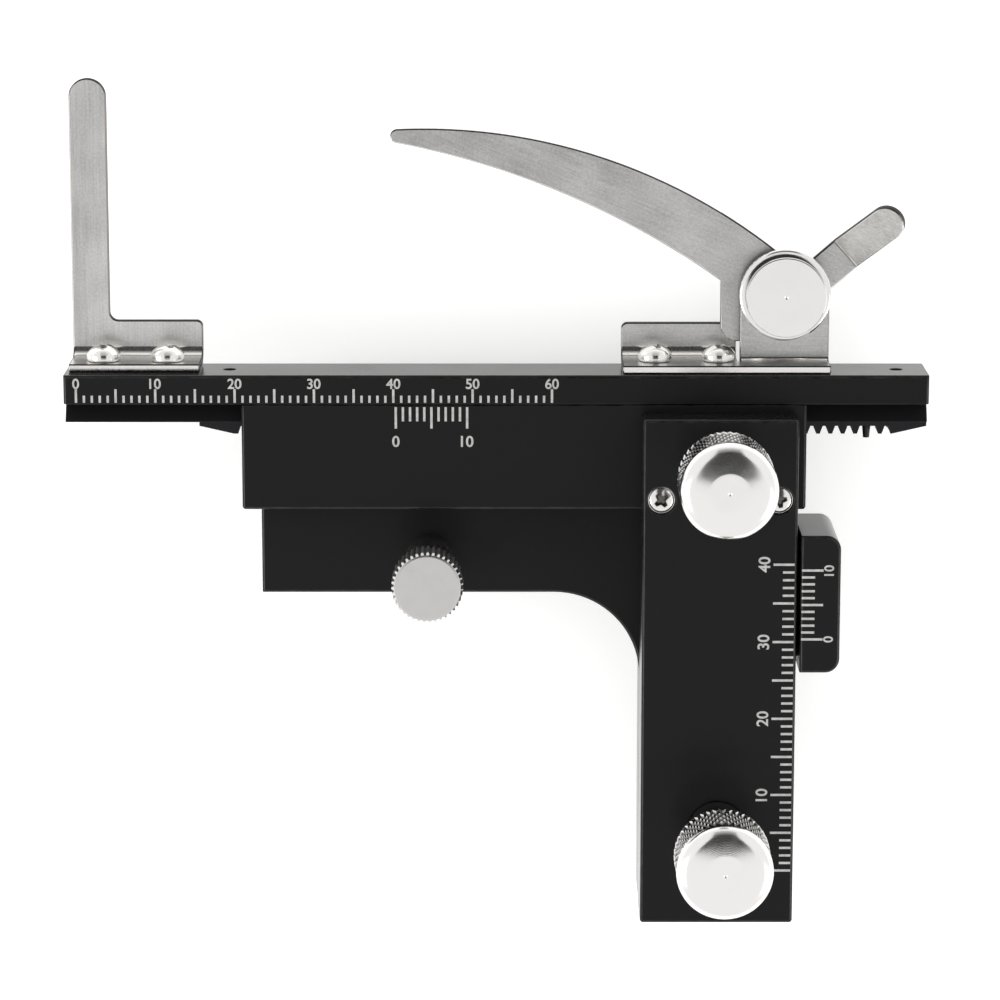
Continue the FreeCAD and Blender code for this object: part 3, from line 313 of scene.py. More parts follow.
# ------------------------------------------------------------------ clamp screw
# The thumb screw that holds the stage down: brass, turned in one piece, with straight teeth milled
# round its head, and nickel plated.

TOOTH_COUNT = 39
TOOTH_STEPS = 4  # columns of faces to a tooth and its gap
TOOTH_DEPTH = 0.3 * MM
TEETH_LOW = 20.85  # in mm, as all numbers of a profile
TEETH_HIGH = 24.75
CLAMP_RADIUS = 4.45
CLAMP_BAND = 8  # rings of faces up the teeth
RING_WAVE = math.tau / 20  # distance between the rings of a wave texture whose scale is 1


def turned_metal(name, colour, roughness, x, y, pitch):
    """Plated metal with the fine rings that the lathe left round an upright axis at (x, y). A vertex
    attribute marks the bottom of knurling and teeth, and there the colour is darkened towards #2b2927
    as painted shade."""
    made = blank_material(name)
    tree = made.node_tree
    place = node(tree, "TexCoord").outputs["Object"]
    centred = node(tree, "Mapping", {"Vector": place, "Location": (-x, -y, 0)})
    rings = node(tree, "TexWave", {
        "Vector": centred.outputs[0], "Scale": RING_WAVE / pitch, "Distortion": 1.2,
        "Detail": 2.0, "Detail Scale": 3.0,
    }, wave_type="RINGS", rings_direction="Z")
    smear = node(tree, "TexNoise", {"Vector": place, "Scale": 1 / (1.5 * MM), "Detail": 4.0})
    rough = node(tree, "MapRange", {
        "Value": smear.outputs[0], "To Min": roughness * 0.7, "To Max": roughness * 1.3,
    })
    relief = node(tree, "Bump", {
        "Height": rings.outputs[0], "Strength": 0.12, "Distance": 0.01 * MM,
    })
    # painted shade: the attribute darkens the metal at the bottom of knurling and teeth
    depth = node(tree, "Attribute", attribute_name="painted_shade_level")
    shade_mask = node(tree, "MapRange", {
        "Value": depth.outputs["Fac"], "From Min": 0.1, "From Max": 0.7, "To Max": 0.93,
    })
    tone = node(tree, "Mix", {0: shade_mask.outputs[0], 6: linear(colour), 7: linear("#2b2927")},
                data_type="RGBA")
    metal = node(tree, "BsdfPrincipled", {
        "Base Color": tone.outputs[2], "Metallic": 1.0, "Roughness": rough.outputs[0],
        "Normal": relief.outputs[0],
    })
    node(tree, "OutputMaterial", {"Surface": metal.outputs[0]})
    return made


def turn_on_lathe(profile, steps, x, y):
    """A closed turned shape from (radius, height) corners in mm, lowest first, round (x, y)."""
    bm = bmesh.new()
    # a vertex layer for painted shade in recesses
    bm.verts.layers.float.new("painted_shade_level")
    chain = [bm.verts.new((x + radius * MM, y, height * MM)) for radius, height in profile]
    for low, high in zip(chain, chain[1:]):
        bm.edges.new((low, high))
    bmesh.ops.spin(bm, geom=bm.verts[:] + bm.edges[:], cent=(x, y, 0), axis=(0, 0, 1),
                   angle=math.tau, steps=steps, use_merge=True, use_duplicate=False)
    bmesh.ops.remove_doubles(bm, verts=bm.verts, dist=SAME_SPOT)
    bmesh.ops.recalc_face_normals(bm, faces=bm.faces)
    return bm


def ladder(radius, low, high, count):
    """Profile corners up a straight wall."""
    return [(radius, low + (high - low) * n / count) for n in range(count + 1)]


def around(bm, x, y, radius, low, high):
    """The vertices of a straight wall, each with its column's turn as a part of the circle."""
    found = []
    for vert in bm.verts:
        reach = math.hypot(vert.co.x - x, vert.co.y - y)
        level = low * MM - SAME_SPOT < vert.co.z < high * MM + SAME_SPOT
        if level and abs(reach - radius * MM) < SAME_SPOT:
            turn = math.atan2(vert.co.y - y, vert.co.x - x) / math.tau % 1.0
            found.append((vert, turn))
    return found


def draw_in(bm, verts, x, y, depth, shade_amount=1.0):
    """Presses vertices towards the axis, and gives them painted shade, darkest where the amount is 1.
    """
    painted_shade_level = bm.verts.layers.float.get("painted_shade_level")
    for vert in verts:
        away = Vector((vert.co.x - x, vert.co.y - y, 0))
        vert.co -= away.normalized() * depth
        vert[painted_shade_level] = shade_amount


nickel_head = turned_metal("nickel_on_brass_clamp", "#cac8c6", 0.24, 0, 0, 0.22 * MM)
milled_nickel = turned_metal("nickel_on_milled_teeth", "#989694", 0.42, 0, 0, 0.22 * MM)
steps = TOOTH_COUNT * TOOTH_STEPS
profile = [
    (0, -4.8), (1.35, -4.8), (1.7, -4.45), (1.7, 0), (1.5, 0.1), (1.5, 7.0), (2.9, 7.0), (3.0, 7.1),
    (3.0, 20.5), (4.1, 20.5), *ladder(CLAMP_RADIUS, TEETH_LOW, TEETH_HIGH, CLAMP_BAND),
    (4.15, 25.05), (4.0, 25.1), (3.85, 25.1), (0, 25.1),
]
bm = turn_on_lathe(profile, steps, 0, 0)
wall = around(bm, 0, 0, CLAMP_RADIUS, TEETH_LOW, TEETH_HIGH)
gaps = [vert for vert, turn in wall if round(turn * steps) % TOOTH_STEPS in (0, 1)]
# the gaps between the teeth take painted shade
draw_in(bm, gaps, 0, 0, TOOTH_DEPTH, 0.4)
for face in bm.faces:
    middle = face.calc_center_median()
    level = TEETH_LOW * MM < middle.z < TEETH_HIGH * MM
    outside = middle.xy.length > CLAMP_RADIUS * MM - 2 * TOOTH_DEPTH
    face.material_index = int(level and outside)
shade_by_angle(bm)
clamp = mesh_piece("clamp_screw_turned", bm, [nickel_head, milled_nickel])
fit(clamp, "clamp", "nickel_plate", "clamp_screw")


# ------------------------------------------------------------------ Y vernier block
# A small enamelled block, screwed to the side of the leg, that carries the Y vernier beside the
# slide arm. Its ten marks are cut in its top face and filled with white.

MARK_RISE = 0.008 * MM
MARK_SINK = 0.04 * MM
MARK_WIDTH = 0.3  # in mm, as the places of all marks
DIGIT_WEIGHT = 0.018  # added all round to a stroke, for digits one unit tall
DIGIT_DEPTH = 0.02
VERNIER_MARKS = 11
LONG_EVERY = 5  # marks from one long mark to the next
Y_SCALE_TOP = 16.0 * MM
Y_VERNIER_ZERO = -8.7
Y_VERNIER_STEP = 0.89
Y_VERNIER_EDGE = 47.0

# Engraver's filling: white enamel paste wiped into the cuts, so it is matt and slightly uneven
white_filling = blank_material("white_engraving_enamel")
tree = white_filling.node_tree
place = node(tree, "TexCoord").outputs["Object"]
wipe = node(tree, "TexNoise", {"Vector": place, "Scale": 1 / (0.7 * MM), "Detail": 3.0})
tone = node(tree, "Mix", {0: wipe.outputs[0], 6: linear("#868684"), 7: linear("#cdcdc9")},
            data_type="RGBA")
paste = node(tree, "BsdfPrincipled", {"Base Color": tone.outputs[2], "Roughness": 0.6})
node(tree, "OutputMaterial", {"Surface": paste.outputs[0]})


def cut_mark(bm, left, back, right, front, top):
    """One filled mark between two corners in mm, on a face at height top."""
    height = top + (MARK_RISE - MARK_SINK) / 2
    middle = Vector(((left + right) / 2 * MM, (back + front) / 2 * MM, height))
    sides = ((right - left) * MM, (front - back) * MM, MARK_RISE + MARK_SINK)
    place = Matrix.Translation(middle) @ Matrix.Diagonal((*sides, 1))
    bmesh.ops.create_cube(bm, size=1.0, matrix=place)


def cut_number(bm, text, x, y, height, top, turn=0.0):
    """A number with its middle at (x, y) in mm. Its digits are height tall, turned left by turn."""
    curve = bpy.data.curves.new("number", "FONT")
    curve.body = text
    curve.extrude = DIGIT_DEPTH
    curve.offset = DIGIT_WEIGHT
    writing = bpy.data.objects.new("number", curve)
    bpy.context.scene.collection.objects.link(writing)
    bpy.context.view_layer.update()
    shape = bpy.data.meshes.new_from_object(writing)
    bpy.data.objects.remove(writing)
    across = [v.co.x for v in shape.vertices]
    upwards = [v.co.y for v in shape.vertices]
    size = height * MM / (max(upwards) - min(upwards))
    middle = Vector(((max(across) + min(across)) / 2, (max(upwards) + min(upwards)) / 2, 0))
    shape.transform(Matrix.Translation(-middle))
    shape.transform(Matrix.Diagonal((size, size, MARK_SINK / DIGIT_DEPTH / 2, 1)))
    shape.transform(Matrix.Rotation(turn, 4, "Z"))
    shape.transform(Matrix.Translation((x * MM, y * MM, top + MARK_RISE - MARK_SINK / 2)))
    bm.from_mesh(shape)
    bpy.data.meshes.remove(shape)
    bpy.data.curves.remove(curve)


def engrave(name, bm, body):
    """Hangs filled marks on the body that they are cut in."""
    marks = mesh_piece(name, bm, [white_filling])
    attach(marks, body)


block = eased("y_vernier_block", "y_vernier_block_enamelled", [black_enamel, rubbed_enamel])
fit(block, "base", "black_finish", "y_vernier_block")

bm = bmesh.new()
for count in range(VERNIER_MARKS):
    y = Y_VERNIER_ZERO + Y_VERNIER_STEP * count
    end = Y_VERNIER_EDGE + (1.65 if count % LONG_EVERY else 2.7)
    cut_mark(bm, Y_VERNIER_EDGE, y - MARK_WIDTH / 2, end, y + MARK_WIDTH / 2, Y_SCALE_TOP)
for count in (0, 10):
    y = Y_VERNIER_ZERO + Y_VERNIER_STEP * count
    cut_number(bm, str(count), 50.4, y, 1.25, Y_SCALE_TOP, math.pi / 2)
engrave("y_vernier_marks", bm, "base")


# ------------------------------------------------------------------ screws
# Small steel machine screws, cold headed and nickel plated, with domed heads and a cross recess.
# The heads in the arm, the vernier block and the X rack lie in counterbores.

ARM_SCREW = (3.4, 1.55, 0.4, 2.0)  # width and height of the head, its crown, the shank, in mm
PLATE_SCREW = (4.3, 2.1, 1.16, 2.5)
PIVOT_SCREW = (5.6, 1.15, 0.63, 2.5)
BLOCK_SCREW = (3.6, 1.6, 0.4, 2.0)
RACK_SCREW = (2.4, 0.5, 0.1, 1.6)
ARM_SEAT = 14.4 * MM  # height of the counterbores' floor
PLATE_FRONT = 25.13 * MM  # Y of the front of both brackets
EAR_BELOW = 1.65 * MM  # height of the ear's underside
HEAD_STEPS = 48
SHOULDER = 0.84  # where the crown meets the rounded side, as a part of the head's radius
SEAT_ROUND = 0.26  # in mm
TIP_CHAMFER = 0.25
RECESS_REACH = 0.28  # half the length of the cross, as a part of the head's width
RECESS_WIDTH = 0.068  # and half the width of its slots
RECESS_WEB = 1.6  # inner corners of the cross, against the slots' half width
RECESS_FLOOR = 0.62  # size of the recess at its floor against its mouth
UP = Vector((0, 0, 1))

# Bright plated steel: nickel over rolled steel, smooth, with faint handling marks. It darkens towards
# #5c5a57 as painted shade where a screw marks its cross recess and the ring under its head.
plated_steel = blank_material("bright_plated_steel")
tree = plated_steel.node_tree
place = node(tree, "TexCoord").outputs["Object"]
haze = node(tree, "TexNoise", {"Vector": place, "Scale": 1 / (0.5 * MM), "Detail": 4.0})
rough = node(tree, "MapRange", {"Value": haze.outputs[0], "To Min": 0.1, "To Max": 0.22})
# painted shade from the screws' vertex attribute
depth = node(tree, "Attribute", attribute_name="painted_shade_level")
tone = node(tree, "Mix", {0: depth.outputs["Fac"], 6: linear("#e6e4e1"), 7: linear("#5c5a57")},
            data_type="RGBA")
steel = node(tree, "BsdfPrincipled", {
    "Base Color": tone.outputs[2], "Metallic": 1.0, "Roughness": rough.outputs[0],
})
node(tree, "OutputMaterial", {"Surface": steel.outputs[0]})


def pan_head_screw(head, height, crown, shank, bite, place, facing, turn):
    """A screw in mm with its seat at place. Its head points along facing, with the cross recess
    turned by turn. The crown is the domed part of the head's height."""
    edge = height - crown
    dome = (head * head / 4 + crown * crown) / (2 * crown)

    def crown_at(reach):
        return height - dome + math.sqrt(dome * dome - reach * reach)

    side, rim = head / 2, head / 2 * SHOULDER
    profile = [
        (0, -bite), (shank / 2 - TIP_CHAMFER, -bite), (shank / 2, TIP_CHAMFER - bite), (shank / 2, 0),
        (side - SEAT_ROUND, 0), (side - SEAT_ROUND / 3, SEAT_ROUND / 3), (side, SEAT_ROUND),
        (side, edge - 0.1), (side - 0.03, edge + 0.02), (side - 0.1, crown_at(side - 0.08) - 0.01),
        (rim, crown_at(rim)),
    ]
    bm = turn_on_lathe(profile, HEAD_STEPS, 0, 0)
    painted_shade_level = bm.verts.layers.float.get("painted_shade_level")
    # painted shadow on the ring where the head sits
    for vert in bm.verts:
        if abs(vert.co.z) < SEAT_ROUND * MM + SAME_SPOT and vert.co.length > shank * MM:
            vert[painted_shade_level] = 1.0
    top = [ring for ring in bm.edges if ring.is_boundary]

    wing, slot = head * RECESS_REACH, head * RECESS_WIDTH
    corners = [(wing, -slot), (wing, slot), (slot * RECESS_WEB, slot * RECESS_WEB)]
    cross = []
    for quarter in range(4):
        cosine, sine = (1, 0, -1, 0)[quarter], (0, 1, 0, -1)[quarter]
        for x, y in corners:
            spot = Vector((x * cosine - y * sine, x * sine + y * cosine, 0))
            spot = spot * RECESS_FLOOR * MM
            cross.append(bm.verts.new((spot.x, spot.y, height / 2 * MM)))
    floor = bm.faces.new(cross)
    bmesh.ops.subdivide_edges(bm, edges=floor.edges[:], cuts=3)
    # painted shade on the floor of the cross recess
    for vert in floor.verts:
        vert[painted_shade_level] = 1.0
    raised = bmesh.ops.extrude_edge_only(bm, edges=floor.edges[:])["geom"]
    mouth = [item for item in raised if isinstance(item, bmesh.types.BMEdge) and item.is_boundary]
    for vert in {vert for ring in mouth for vert in ring.verts}:
        vert.co.xy /= RECESS_FLOOR
        vert.co.z = crown_at(vert.co.xy.length / MM) * MM
        # lighter painted shade at the mouth of the recess
        vert[painted_shade_level] = 0.35
    bmesh.ops.bridge_loops(bm, edges=top + mouth)
    rim_verts = {vert for ring in top for vert in ring.verts}
    mouth_verts = {vert for ring in mouth for vert in ring.verts}
    rungs = [rung for rung in bm.edges
             if len(rim_verts & set(rung.verts)) == 1 and len(mouth_verts & set(rung.verts)) == 1]
    cut = bmesh.ops.subdivide_edges(bm, edges=rungs, cuts=3)
    for item in cut["geom_inner"]:
        if isinstance(item, bmesh.types.BMVert):
            item.co.z = crown_at(item.co.xy.length / MM) * MM
            item[painted_shade_level] = 0.0
    bmesh.ops.recalc_face_normals(bm, faces=bm.faces)
    shade_by_angle(bm)
    bmesh.ops.rotate(bm, verts=bm.verts, matrix=Matrix.Rotation(turn, 3, "Z"))
    swing = UP.rotation_difference(facing).to_matrix()
    bmesh.ops.rotate(bm, verts=bm.verts, matrix=swing)
    bmesh.ops.translate(bm, verts=bm.verts, vec=place)
    return bm


def fit_screw(cad_node, body, sizes, bite, seat, facing, turn):
    """A screw in place of its CAD node. The turn of its recess is in degrees."""
    bm = pan_head_screw(*sizes, bite, seat, facing, math.radians(turn))
    fit(mesh_piece(f"{cad_node}_headed", bm, [plated_steel]), body, "screw_steel", cad_node)


for screw, turn in (("arm_screw_1", 38), ("arm_screw_2", 12)):
    low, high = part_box(screw)
    seat = ((low.x + high.x) / 2, (low.y + high.y) / 2, ARM_SEAT)
    fit_screw(screw, "y_slide", ARM_SCREW, 7.0, seat, UP, turn)
for screw, turn in (("fixed_finger_screw_1", 8), ("fixed_finger_screw_2", 30),
                    ("clamp_bracket_screw_1", 20), ("clamp_bracket_screw_2", 0)):
    low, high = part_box(screw)
    seat = ((low.x + high.x) / 2, PLATE_FRONT, (low.z + high.z) / 2)
    fit_screw(screw, "x_slide", PLATE_SCREW, 3.8, seat, Vector((0, 1, 0)), turn)
low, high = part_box("pivot_screw")
seat = ((low.x + high.x) / 2, (low.y + high.y) / 2, EAR_BELOW)
fit_screw("pivot_screw", "x_slide", PIVOT_SCREW, 5.35, seat, -UP, 45)
for screw, turn in (("vernier_block_screw_1", 17), ("vernier_block_screw_2", 52)):
    low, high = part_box(screw)
    seat = (high.x - BLOCK_SCREW[1] * MM, (low.y + high.y) / 2, (low.z + high.z) / 2)
    bite = (seat[0] - low.x) / MM
    fit_screw(screw, "base", BLOCK_SCREW, bite, seat, Vector((1, 0, 0)), turn)
for screw, turn in (("x_rack_screw_1", 33), ("x_rack_screw_2", 5)):
    low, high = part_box(screw)
    seat = ((low.x + high.x) / 2, low.y + RACK_SCREW[1] * MM, (low.z + high.z) / 2)
    bite = (high.y - seat[1]) / MM
    fit_screw(screw, "x_slide", RACK_SCREW, bite, seat, Vector((0, -1, 0)), turn)
for name in ("y_stop_screw", "x_pinion_shaft", "y_pinion_shaft", "finger_spacer"):
    coat(name, plated_steel)


# ------------------------------------------------------------------ racks and stop pin
# Two toothed strips of milled steel, blacked and oiled, which the pinions drive, and the small
# taper pin that stops the X slide.

# Oiled black steel: nearly black, with the cutter's fine marks and a film of oil
oiled_steel = blank_material("oiled_black_rack_steel")
tree = oiled_steel.node_tree
place = node(tree, "TexCoord").outputs["Object"]
cutter = node(tree, "TexNoise", {"Vector": place, "Scale": 1 / (0.3 * MM), "Detail": 3.0})
rough = node(tree, "MapRange", {"Value": cutter.outputs[0], "To Min": 0.28, "To Max": 0.46})
steel = node(tree, "BsdfPrincipled", {
    "Base Color": linear("#2e2e30"), "Metallic": 1.0, "Roughness": rough.outputs[0],
})
node(tree, "OutputMaterial", {"Surface": steel.outputs[0]})

for name in ("x_rack", "y_rack", "x_stop_pin"):
    coat(name, oiled_steel)


# ------------------------------------------------------------------ slide arm
# The upper bar on the Y dovetail, enamelled brass, which carries both pinions. A 40 mm scale is
# engraved along its right edge and filled with white.

Y_SCALE_ZERO = -39.05
Y_SCALE_EDGE = 46.05

arm = eased("slide_arm", "slide_arm_enamelled", [black_enamel, rubbed_enamel])
fit(arm, "y_slide", "black_finish", "slide_arm")

bm = bmesh.new()
for count in range(41):
    y = Y_SCALE_ZERO + count
    start = Y_SCALE_EDGE - (1.45 if count % LONG_EVERY else 2.65)
    cut_mark(bm, start, y - MARK_WIDTH / 2, Y_SCALE_EDGE, y + MARK_WIDTH / 2, Y_SCALE_TOP)
for count in (10, 20, 30, 40):
    cut_number(bm, str(count), 42.25, Y_SCALE_ZERO + count, 1.5, Y_SCALE_TOP, math.pi / 2)
engrave("y_scale_marks", bm, "y_slide")


# ------------------------------------------------------------------ bushes and knobs
# An enamelled brass bush holds each pinion shaft in the arm. The knobs are turned brass, diamond
# knurled, with a buffed end, flat in the middle and rounded over, and nickel plated.

KNURL_COLUMNS = 92
KNURL_ROWS = 8
KNURL_DEPTH = 0.28 * MM
KNURL_LOW = 27.5
KNOB_RADIUS = 6.0
KNOB_TOP = 36.5
KNOB_X = 36.65
BUFFED_END = (  # (radius in mm, slope in degrees), from the flat middle out to the knurling
    (2.35, 0), (2.5, 6), (2.65, 7.2), (3.2, 8), (3.7, 9), (4.12, 10), (4.4, 11), (4.63, 13),
    (4.8, 18), (4.95, 25), (5.1, 31), (5.25, 35), (5.4, 40), (5.55, 46), (5.7, 52), (5.82, 58),
    (5.92, 65), (6.0, 75),
)


def cut_diamonds(bm, x, y, radius, low, high, columns, rows, depth):
    """Diamond knurling: every other corner of the grid on a wall is pressed in, but not at the wall's
    two ends. The pressed corners take painted shade."""
    pressed = []
    for vert, turn in around(bm, x, y, radius, low, high):
        column = round(turn * columns)
        row = round((vert.co.z / MM - low) / (high - low) * rows)
        if (column + row) % 2 and 0 < row < rows:
            pressed.append(vert)
    draw_in(bm, pressed, x, y, depth)
    wall = [face for face in bm.faces if all(
        low * MM - SAME_SPOT < v.co.z < high * MM + SAME_SPOT
        and math.hypot(v.co.x - x, v.co.y - y) > radius * MM - depth - SAME_SPOT
        for v in face.verts
    )]
    bmesh.ops.triangulate(bm, faces=wall, quad_method="SHORT_EDGE", ngon_method="BEAUTY")


for name, y in (("x", 14.15), ("y", -33.6)):
    axis_x, axis_y = KNOB_X * MM, y * MM
    knob_nickel = turned_metal(
        f"nickel_on_brass_{name}_knob", "#eeecea", 0.17, axis_x, axis_y, 0.2 * MM,
    )
    height = KNOB_TOP
    end = [(BUFFED_END[0][0], height)]
    for (inner, slope), (outer, steeper) in zip(BUFFED_END, BUFFED_END[1:]):
        fall = (math.tan(math.radians(slope)) + math.tan(math.radians(steeper))) / 2
        height -= fall * (outer - inner)
        end.append((outer, height))
    knurl_high = height - 0.15
    profile = [
        (1.6, 16.8), (2.9, 16.8), (3.0, 16.9), (3.0, 26.4), (3.1, 26.5), (4.93, 26.5), (5.05, 26.55),
        *ladder(KNOB_RADIUS, KNURL_LOW, knurl_high, KNURL_ROWS), *reversed(end), (2.0, KNOB_TOP),
        (0.6, KNOB_TOP), (0.24, KNOB_TOP), (0.18, 36.47), (0, 36.38),
    ]
    bm = turn_on_lathe(profile, KNURL_COLUMNS, axis_x, axis_y)
    cut_diamonds(bm, axis_x, axis_y, KNOB_RADIUS, KNURL_LOW, knurl_high,
                 KNURL_COLUMNS, KNURL_ROWS, KNURL_DEPTH)
    shade_by_angle(bm)
    knob = mesh_piece(f"{name}_knob_knurled", bm, [knob_nickel])
    fit(knob, f"{name}_drive", "nickel_plate", f"{name}_knob")
    coat(f"{name}_pinion_bush", black_enamel)


# ------------------------------------------------------------------ X carriage
# The enamelled cross bar under the arm, with the X channel milled in its front. The X vernier is
# engraved on its top, against the rail's scale.

X_SCALE_TOP = 10.6 * MM
X_VERNIER_ZERO = -4.15
X_VERNIER_STEP = 0.9
X_VERNIER_EDGE = 20.1

carriage = eased("x_carriage", "x_carriage_enamelled", [black_enamel, rubbed_enamel])
fit(carriage, "y_slide", "black_finish", "x_carriage")

bm = bmesh.new()
for count in range(VERNIER_MARKS):
    x = X_VERNIER_ZERO + X_VERNIER_STEP * count
    end = 18.28 if count % LONG_EVERY else 17.35
    cut_mark(bm, x - MARK_WIDTH / 2, end, x + MARK_WIDTH / 2, X_VERNIER_EDGE, X_SCALE_TOP)
for count in (0, 10):
    cut_number(bm, str(count), X_VERNIER_ZERO + X_VERNIER_STEP * count, 15.7, 1.45, X_SCALE_TOP)
engrave("x_vernier_marks", bm, "y_slide")


# ------------------------------------------------------------------ X rail
# The long enamelled rail that slides along the front of the carriage and carries the fingers. A
# 60 mm scale is engraved along its top.

X_SCALE_ZERO = -44.45
X_SCALE_EDGE = 20.66

rail = eased("x_rail", "x_rail_enamelled", [black_enamel, rubbed_enamel])
fit(rail, "x_slide", "black_finish", "x_rail")

bm = bmesh.new()
for count in range(61):
    x = X_SCALE_ZERO + count
    end = 21.57 if count % LONG_EVERY else 22.4
    cut_mark(bm, x - MARK_WIDTH / 2, X_SCALE_EDGE, x + MARK_WIDTH / 2, end, X_SCALE_TOP)
for count in range(0, 61, 10):
    cut_number(bm, str(count), X_SCALE_ZERO + count, 23.08, 1.33, X_SCALE_TOP)
engrave("x_scale_marks", bm, "x_slide")


# ------------------------------------------------------------------ fingers
# The fixed finger, the clamp bracket and the spring finger are blanked and folded from 1 mm sheet
# steel, satin ground along their length and nickel plated. The press tool leaves each edge rounded at
# both faces, with a rough dark zone between that is also darkened as painted shade. Cut faces that
# face up and rounded edges that face to the front carry a painted highlight, and rounded edges that
# face back carry painted shade.

SHEET = 1.0 * MM
SHEET_EDGE = 0.17 * MM
BEND_FACE = 8 * MM * MM  # the faces along a bend are smaller than this
UPRIGHT = 0.05  # the sheet's flats have less of their normal along Z than this
LEVEL = 0.998  # or more than this
UPWARDS = 0.7  # least part of a normal along Z, where a cut faces up and takes a painted highlight
ASIDE = 0.2  # least part of a normal along Y, at a back edge, which takes painted shade, and at a front edge, which takes a painted highlight
GROUND, SHEARED_AND_PAINTED_SHADE, ROLLED, BURNISHED_AND_PAINTED_HIGHLIGHT = range(4)  # a sheet's finishes, by material number; the second also serves as painted shade and the last as a painted highlight


def ground_sheet(name, dull, bright, turn):
    """Satin ground nickel between two tones. Its fine scratches run along X, turned left by turn."""
    made = blank_material(name)
    tree = made.node_tree
    place = node(tree, "TexCoord").outputs["Object"]
    along = node(tree, "Mapping", {"Vector": place, "Rotation": (0, 0, -turn)})
    long = node(tree, "Mapping", {
        "Vector": along.outputs[0], "Scale": (1 / (7 * MM), 1 / (0.16 * MM), 1 / (0.16 * MM)),
    })
    scratch = node(tree, "TexNoise", {"Vector": long.outputs[0], "Scale": 1.0, "Detail": 5.0})
    cloud = node(tree, "TexNoise", {"Vector": place, "Scale": 1 / (6 * MM), "Detail": 2.0})
    grain = node(tree, "TexNoise", {"Vector": place, "Scale": 1 / (0.3 * MM), "Detail": 2.0})
    rough = node(tree, "MapRange", {"Value": scratch.outputs[0], "To Min": 0.22, "To Max": 0.4})
    fine = node(tree, "Math", {0: scratch.outputs[0], 1: grain.outputs[0]}, operation="ADD")
    mottled = node(tree, "Math", {0: fine.outputs[0], 1: cloud.outputs[0]}, operation="ADD")
    shade = node(tree, "MapRange", {"Value": mottled.outputs[0], "From Min": 1.1, "From Max": 1.9})
    tone = node(tree, "Mix", {0: shade.outputs[0], 6: linear(dull), 7: linear(bright)},
                data_type="RGBA")
    relief = node(tree, "Bump", {
        "Height": scratch.outputs[0], "Strength": 0.25, "Distance": 0.01 * MM,
    })
    metal = node(tree, "BsdfPrincipled", {
        "Base Color": tone.outputs[2], "Metallic": 1.0, "Roughness": rough.outputs[0],
        "Normal": relief.outputs[0],
    })
    node(tree, "OutputMaterial", {"Surface": metal.outputs[0]})
    return made


# Sheared edge: the torn part of the cut, too rough to shine under its thin plating. Its dark colour
# is partly painted shade, and it is also laid on rounded edges that face back as painted shade.
sheared_and_painted_shade_steel = blank_material("sheared_and_painted_shade_edge")
tree = sheared_and_painted_shade_steel.node_tree
place = node(tree, "TexCoord").outputs["Object"]
tear = node(tree, "TexNoise", {"Vector": place, "Scale": 1 / (0.2 * MM), "Detail": 4.0})
relief = node(tree, "Bump", {"Height": tear.outputs[0], "Strength": 0.8, "Distance": 0.03 * MM})
steel = node(tree, "BsdfPrincipled", {
    "Base Color": linear("#373533"), "Metallic": 1.0, "Roughness": 0.5, "Normal": relief.outputs[0],
})
node(tree, "OutputMaterial", {"Surface": steel.outputs[0]})


# Rounded edge of the cut: dragged by the press tool, smoother than the tear and a little dull
rolled_steel = blank_material("rolled_sheet_edge")
tree = rolled_steel.node_tree
place = node(tree, "TexCoord").outputs["Object"]
drag = node(tree, "TexNoise", {"Vector": place, "Scale": 1 / (0.4 * MM), "Detail": 3.0})
rough = node(tree, "MapRange", {"Value": drag.outputs[0], "To Min": 0.18, "To Max": 0.3})
steel = node(tree, "BsdfPrincipled", {
    "Base Color": linear("#8e8c89"), "Metallic": 1.0, "Roughness": rough.outputs[0],
})
node(tree, "OutputMaterial", {"Surface": steel.outputs[0]})


def pressed_sheet(cad_node, ground, body):
    """A sheet metal piece with its cut edges rounded. A face that the press tool cut has two sides as
    long as the sheet is thick; where it faces up it takes bright plated steel as a painted highlight,
    and elsewhere the dark finish of a torn edge, darkened further as painted shade. The folding tool
    burnishes the narrow faces of a bend. Rounded edges that face back take the same dark finish as
    painted shade, and those that face front take bright plated steel as a painted highlight."""
    bm = merged_copy(cad_node)
    for face in bm.faces:
        across = [edge for edge in face.edges if abs(edge.calc_length() - SHEET) < SAME_SPOT]
        if len(across) > 1:
            # cut faces that face up take a painted highlight; the others take a dark finish that is
            # partly painted shade
            face.material_index = BURNISHED_AND_PAINTED_HIGHLIGHT if face.normal.z > UPWARDS else SHEARED_AND_PAINTED_SHADE
        elif UPRIGHT < abs(face.normal.z) < LEVEL and face.calc_area() < BEND_FACE:
            face.material_index = BURNISHED_AND_PAINTED_HIGHLIGHT
    ease(bm, SHEET_EDGE, 3, ROLLED)
    for face in bm.faces:
        # rounded edges that face back take painted shade, and those that face front take a painted
        # highlight
        if face.material_index == ROLLED and face.normal.y > ASIDE:
            face.material_index = SHEARED_AND_PAINTED_SHADE
        elif face.material_index == ROLLED and face.normal.y < -ASIDE:
            face.material_index = BURNISHED_AND_PAINTED_HIGHLIGHT
    metals = [ground, sheared_and_painted_shade_steel, rolled_steel, plated_steel]  # GROUND comes first
    fit(mesh_piece(f"{cad_node}_ground", bm, metals), body, "satin_sheet", cad_node)


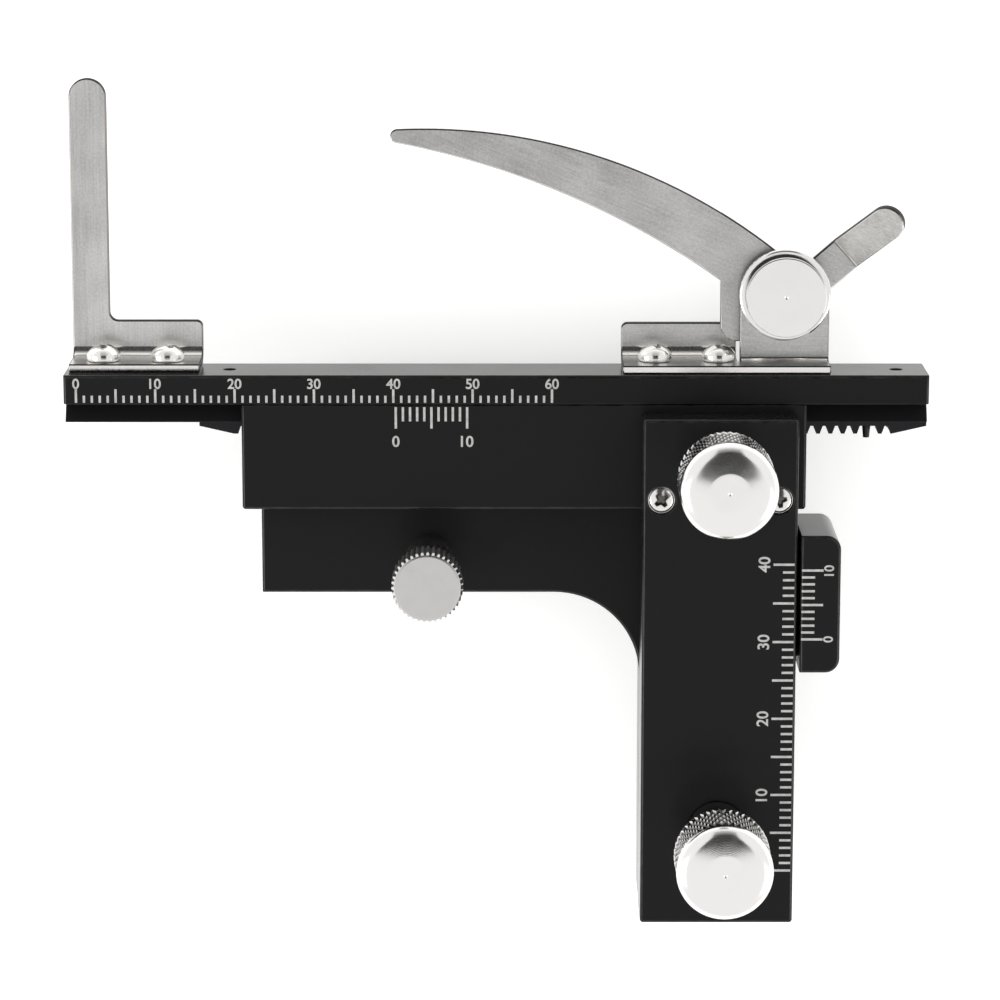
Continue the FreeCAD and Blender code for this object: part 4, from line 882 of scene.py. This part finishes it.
finger_nickel = ground_sheet("satin_nickel_fixed_finger", "#c6c5c3", "#e6e5e3", math.pi / 2)
bracket_nickel = ground_sheet("satin_nickel_bracket", "#bebdbb", "#e0dfdd", 0)
spring_nickel = ground_sheet("satin_nickel_spring_finger", "#b4b3b1", "#dbdad8", math.radians(-22))
pressed_sheet("fixed_finger", finger_nickel, "x_slide")
pressed_sheet("clamp_bracket", bracket_nickel, "x_slide")
pressed_sheet("spring_finger", spring_nickel, "finger")


# ------------------------------------------------------------------ spring cap
# The nut on top of the pivot screw, over the finger's return spring: turned brass, a polished boss
# on a finely knurled flange, nickel plated.

CAP_COLUMNS = 92
CAP_ROWS = 2
CAP_DEPTH = 0.2 * MM
CAP_RADIUS = 5.8
CAP_LOW = 5.2
CAP_HIGH = 5.75
CAP_TOP = 7.8
BOSS = 5.08  # radius of the polished boss

pivot_x, pivot_y = 45.15 * MM, 33.6 * MM
cap_nickel = turned_metal("nickel_on_brass_cap", "#e9e7e5", 0.12, pivot_x, pivot_y, 0.2 * MM)
profile = [
    (1.25, 5.0), (5.6, 5.0), *ladder(CAP_RADIUS, CAP_LOW, CAP_HIGH, CAP_ROWS), (5.76, 5.84),
    (5.68, 5.91), (5.58, 5.95), (5.48, 5.95), (5.2, 5.95), (BOSS, 5.95), (BOSS, 6.6), (BOSS, 7.3),
    (BOSS, 7.66), (5.06, 7.74), (5.01, 7.79), (4.94, CAP_TOP), (4.84, CAP_TOP), (0.7, CAP_TOP),
    (0.24, CAP_TOP), (0.18, 7.77), (0, 7.68),
]
bm = turn_on_lathe(profile, CAP_COLUMNS, pivot_x, pivot_y)
cut_diamonds(bm, pivot_x, pivot_y, CAP_RADIUS, CAP_LOW, CAP_HIGH, CAP_COLUMNS, CAP_ROWS, CAP_DEPTH)
# a ring of painted shade where the boss stands on the flange; these corners are not moved
foot = [vert for vert, turn in around(bm, pivot_x, pivot_y, BOSS, 5.9, 6.7)]
draw_in(bm, foot, pivot_x, pivot_y, 0, 0.42)
shade_by_angle(bm)
cap = mesh_piece("spring_cap_knurled", bm, [cap_nickel])
fit(cap, "x_slide", "nickel_plate", "spring_cap")


low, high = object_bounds()
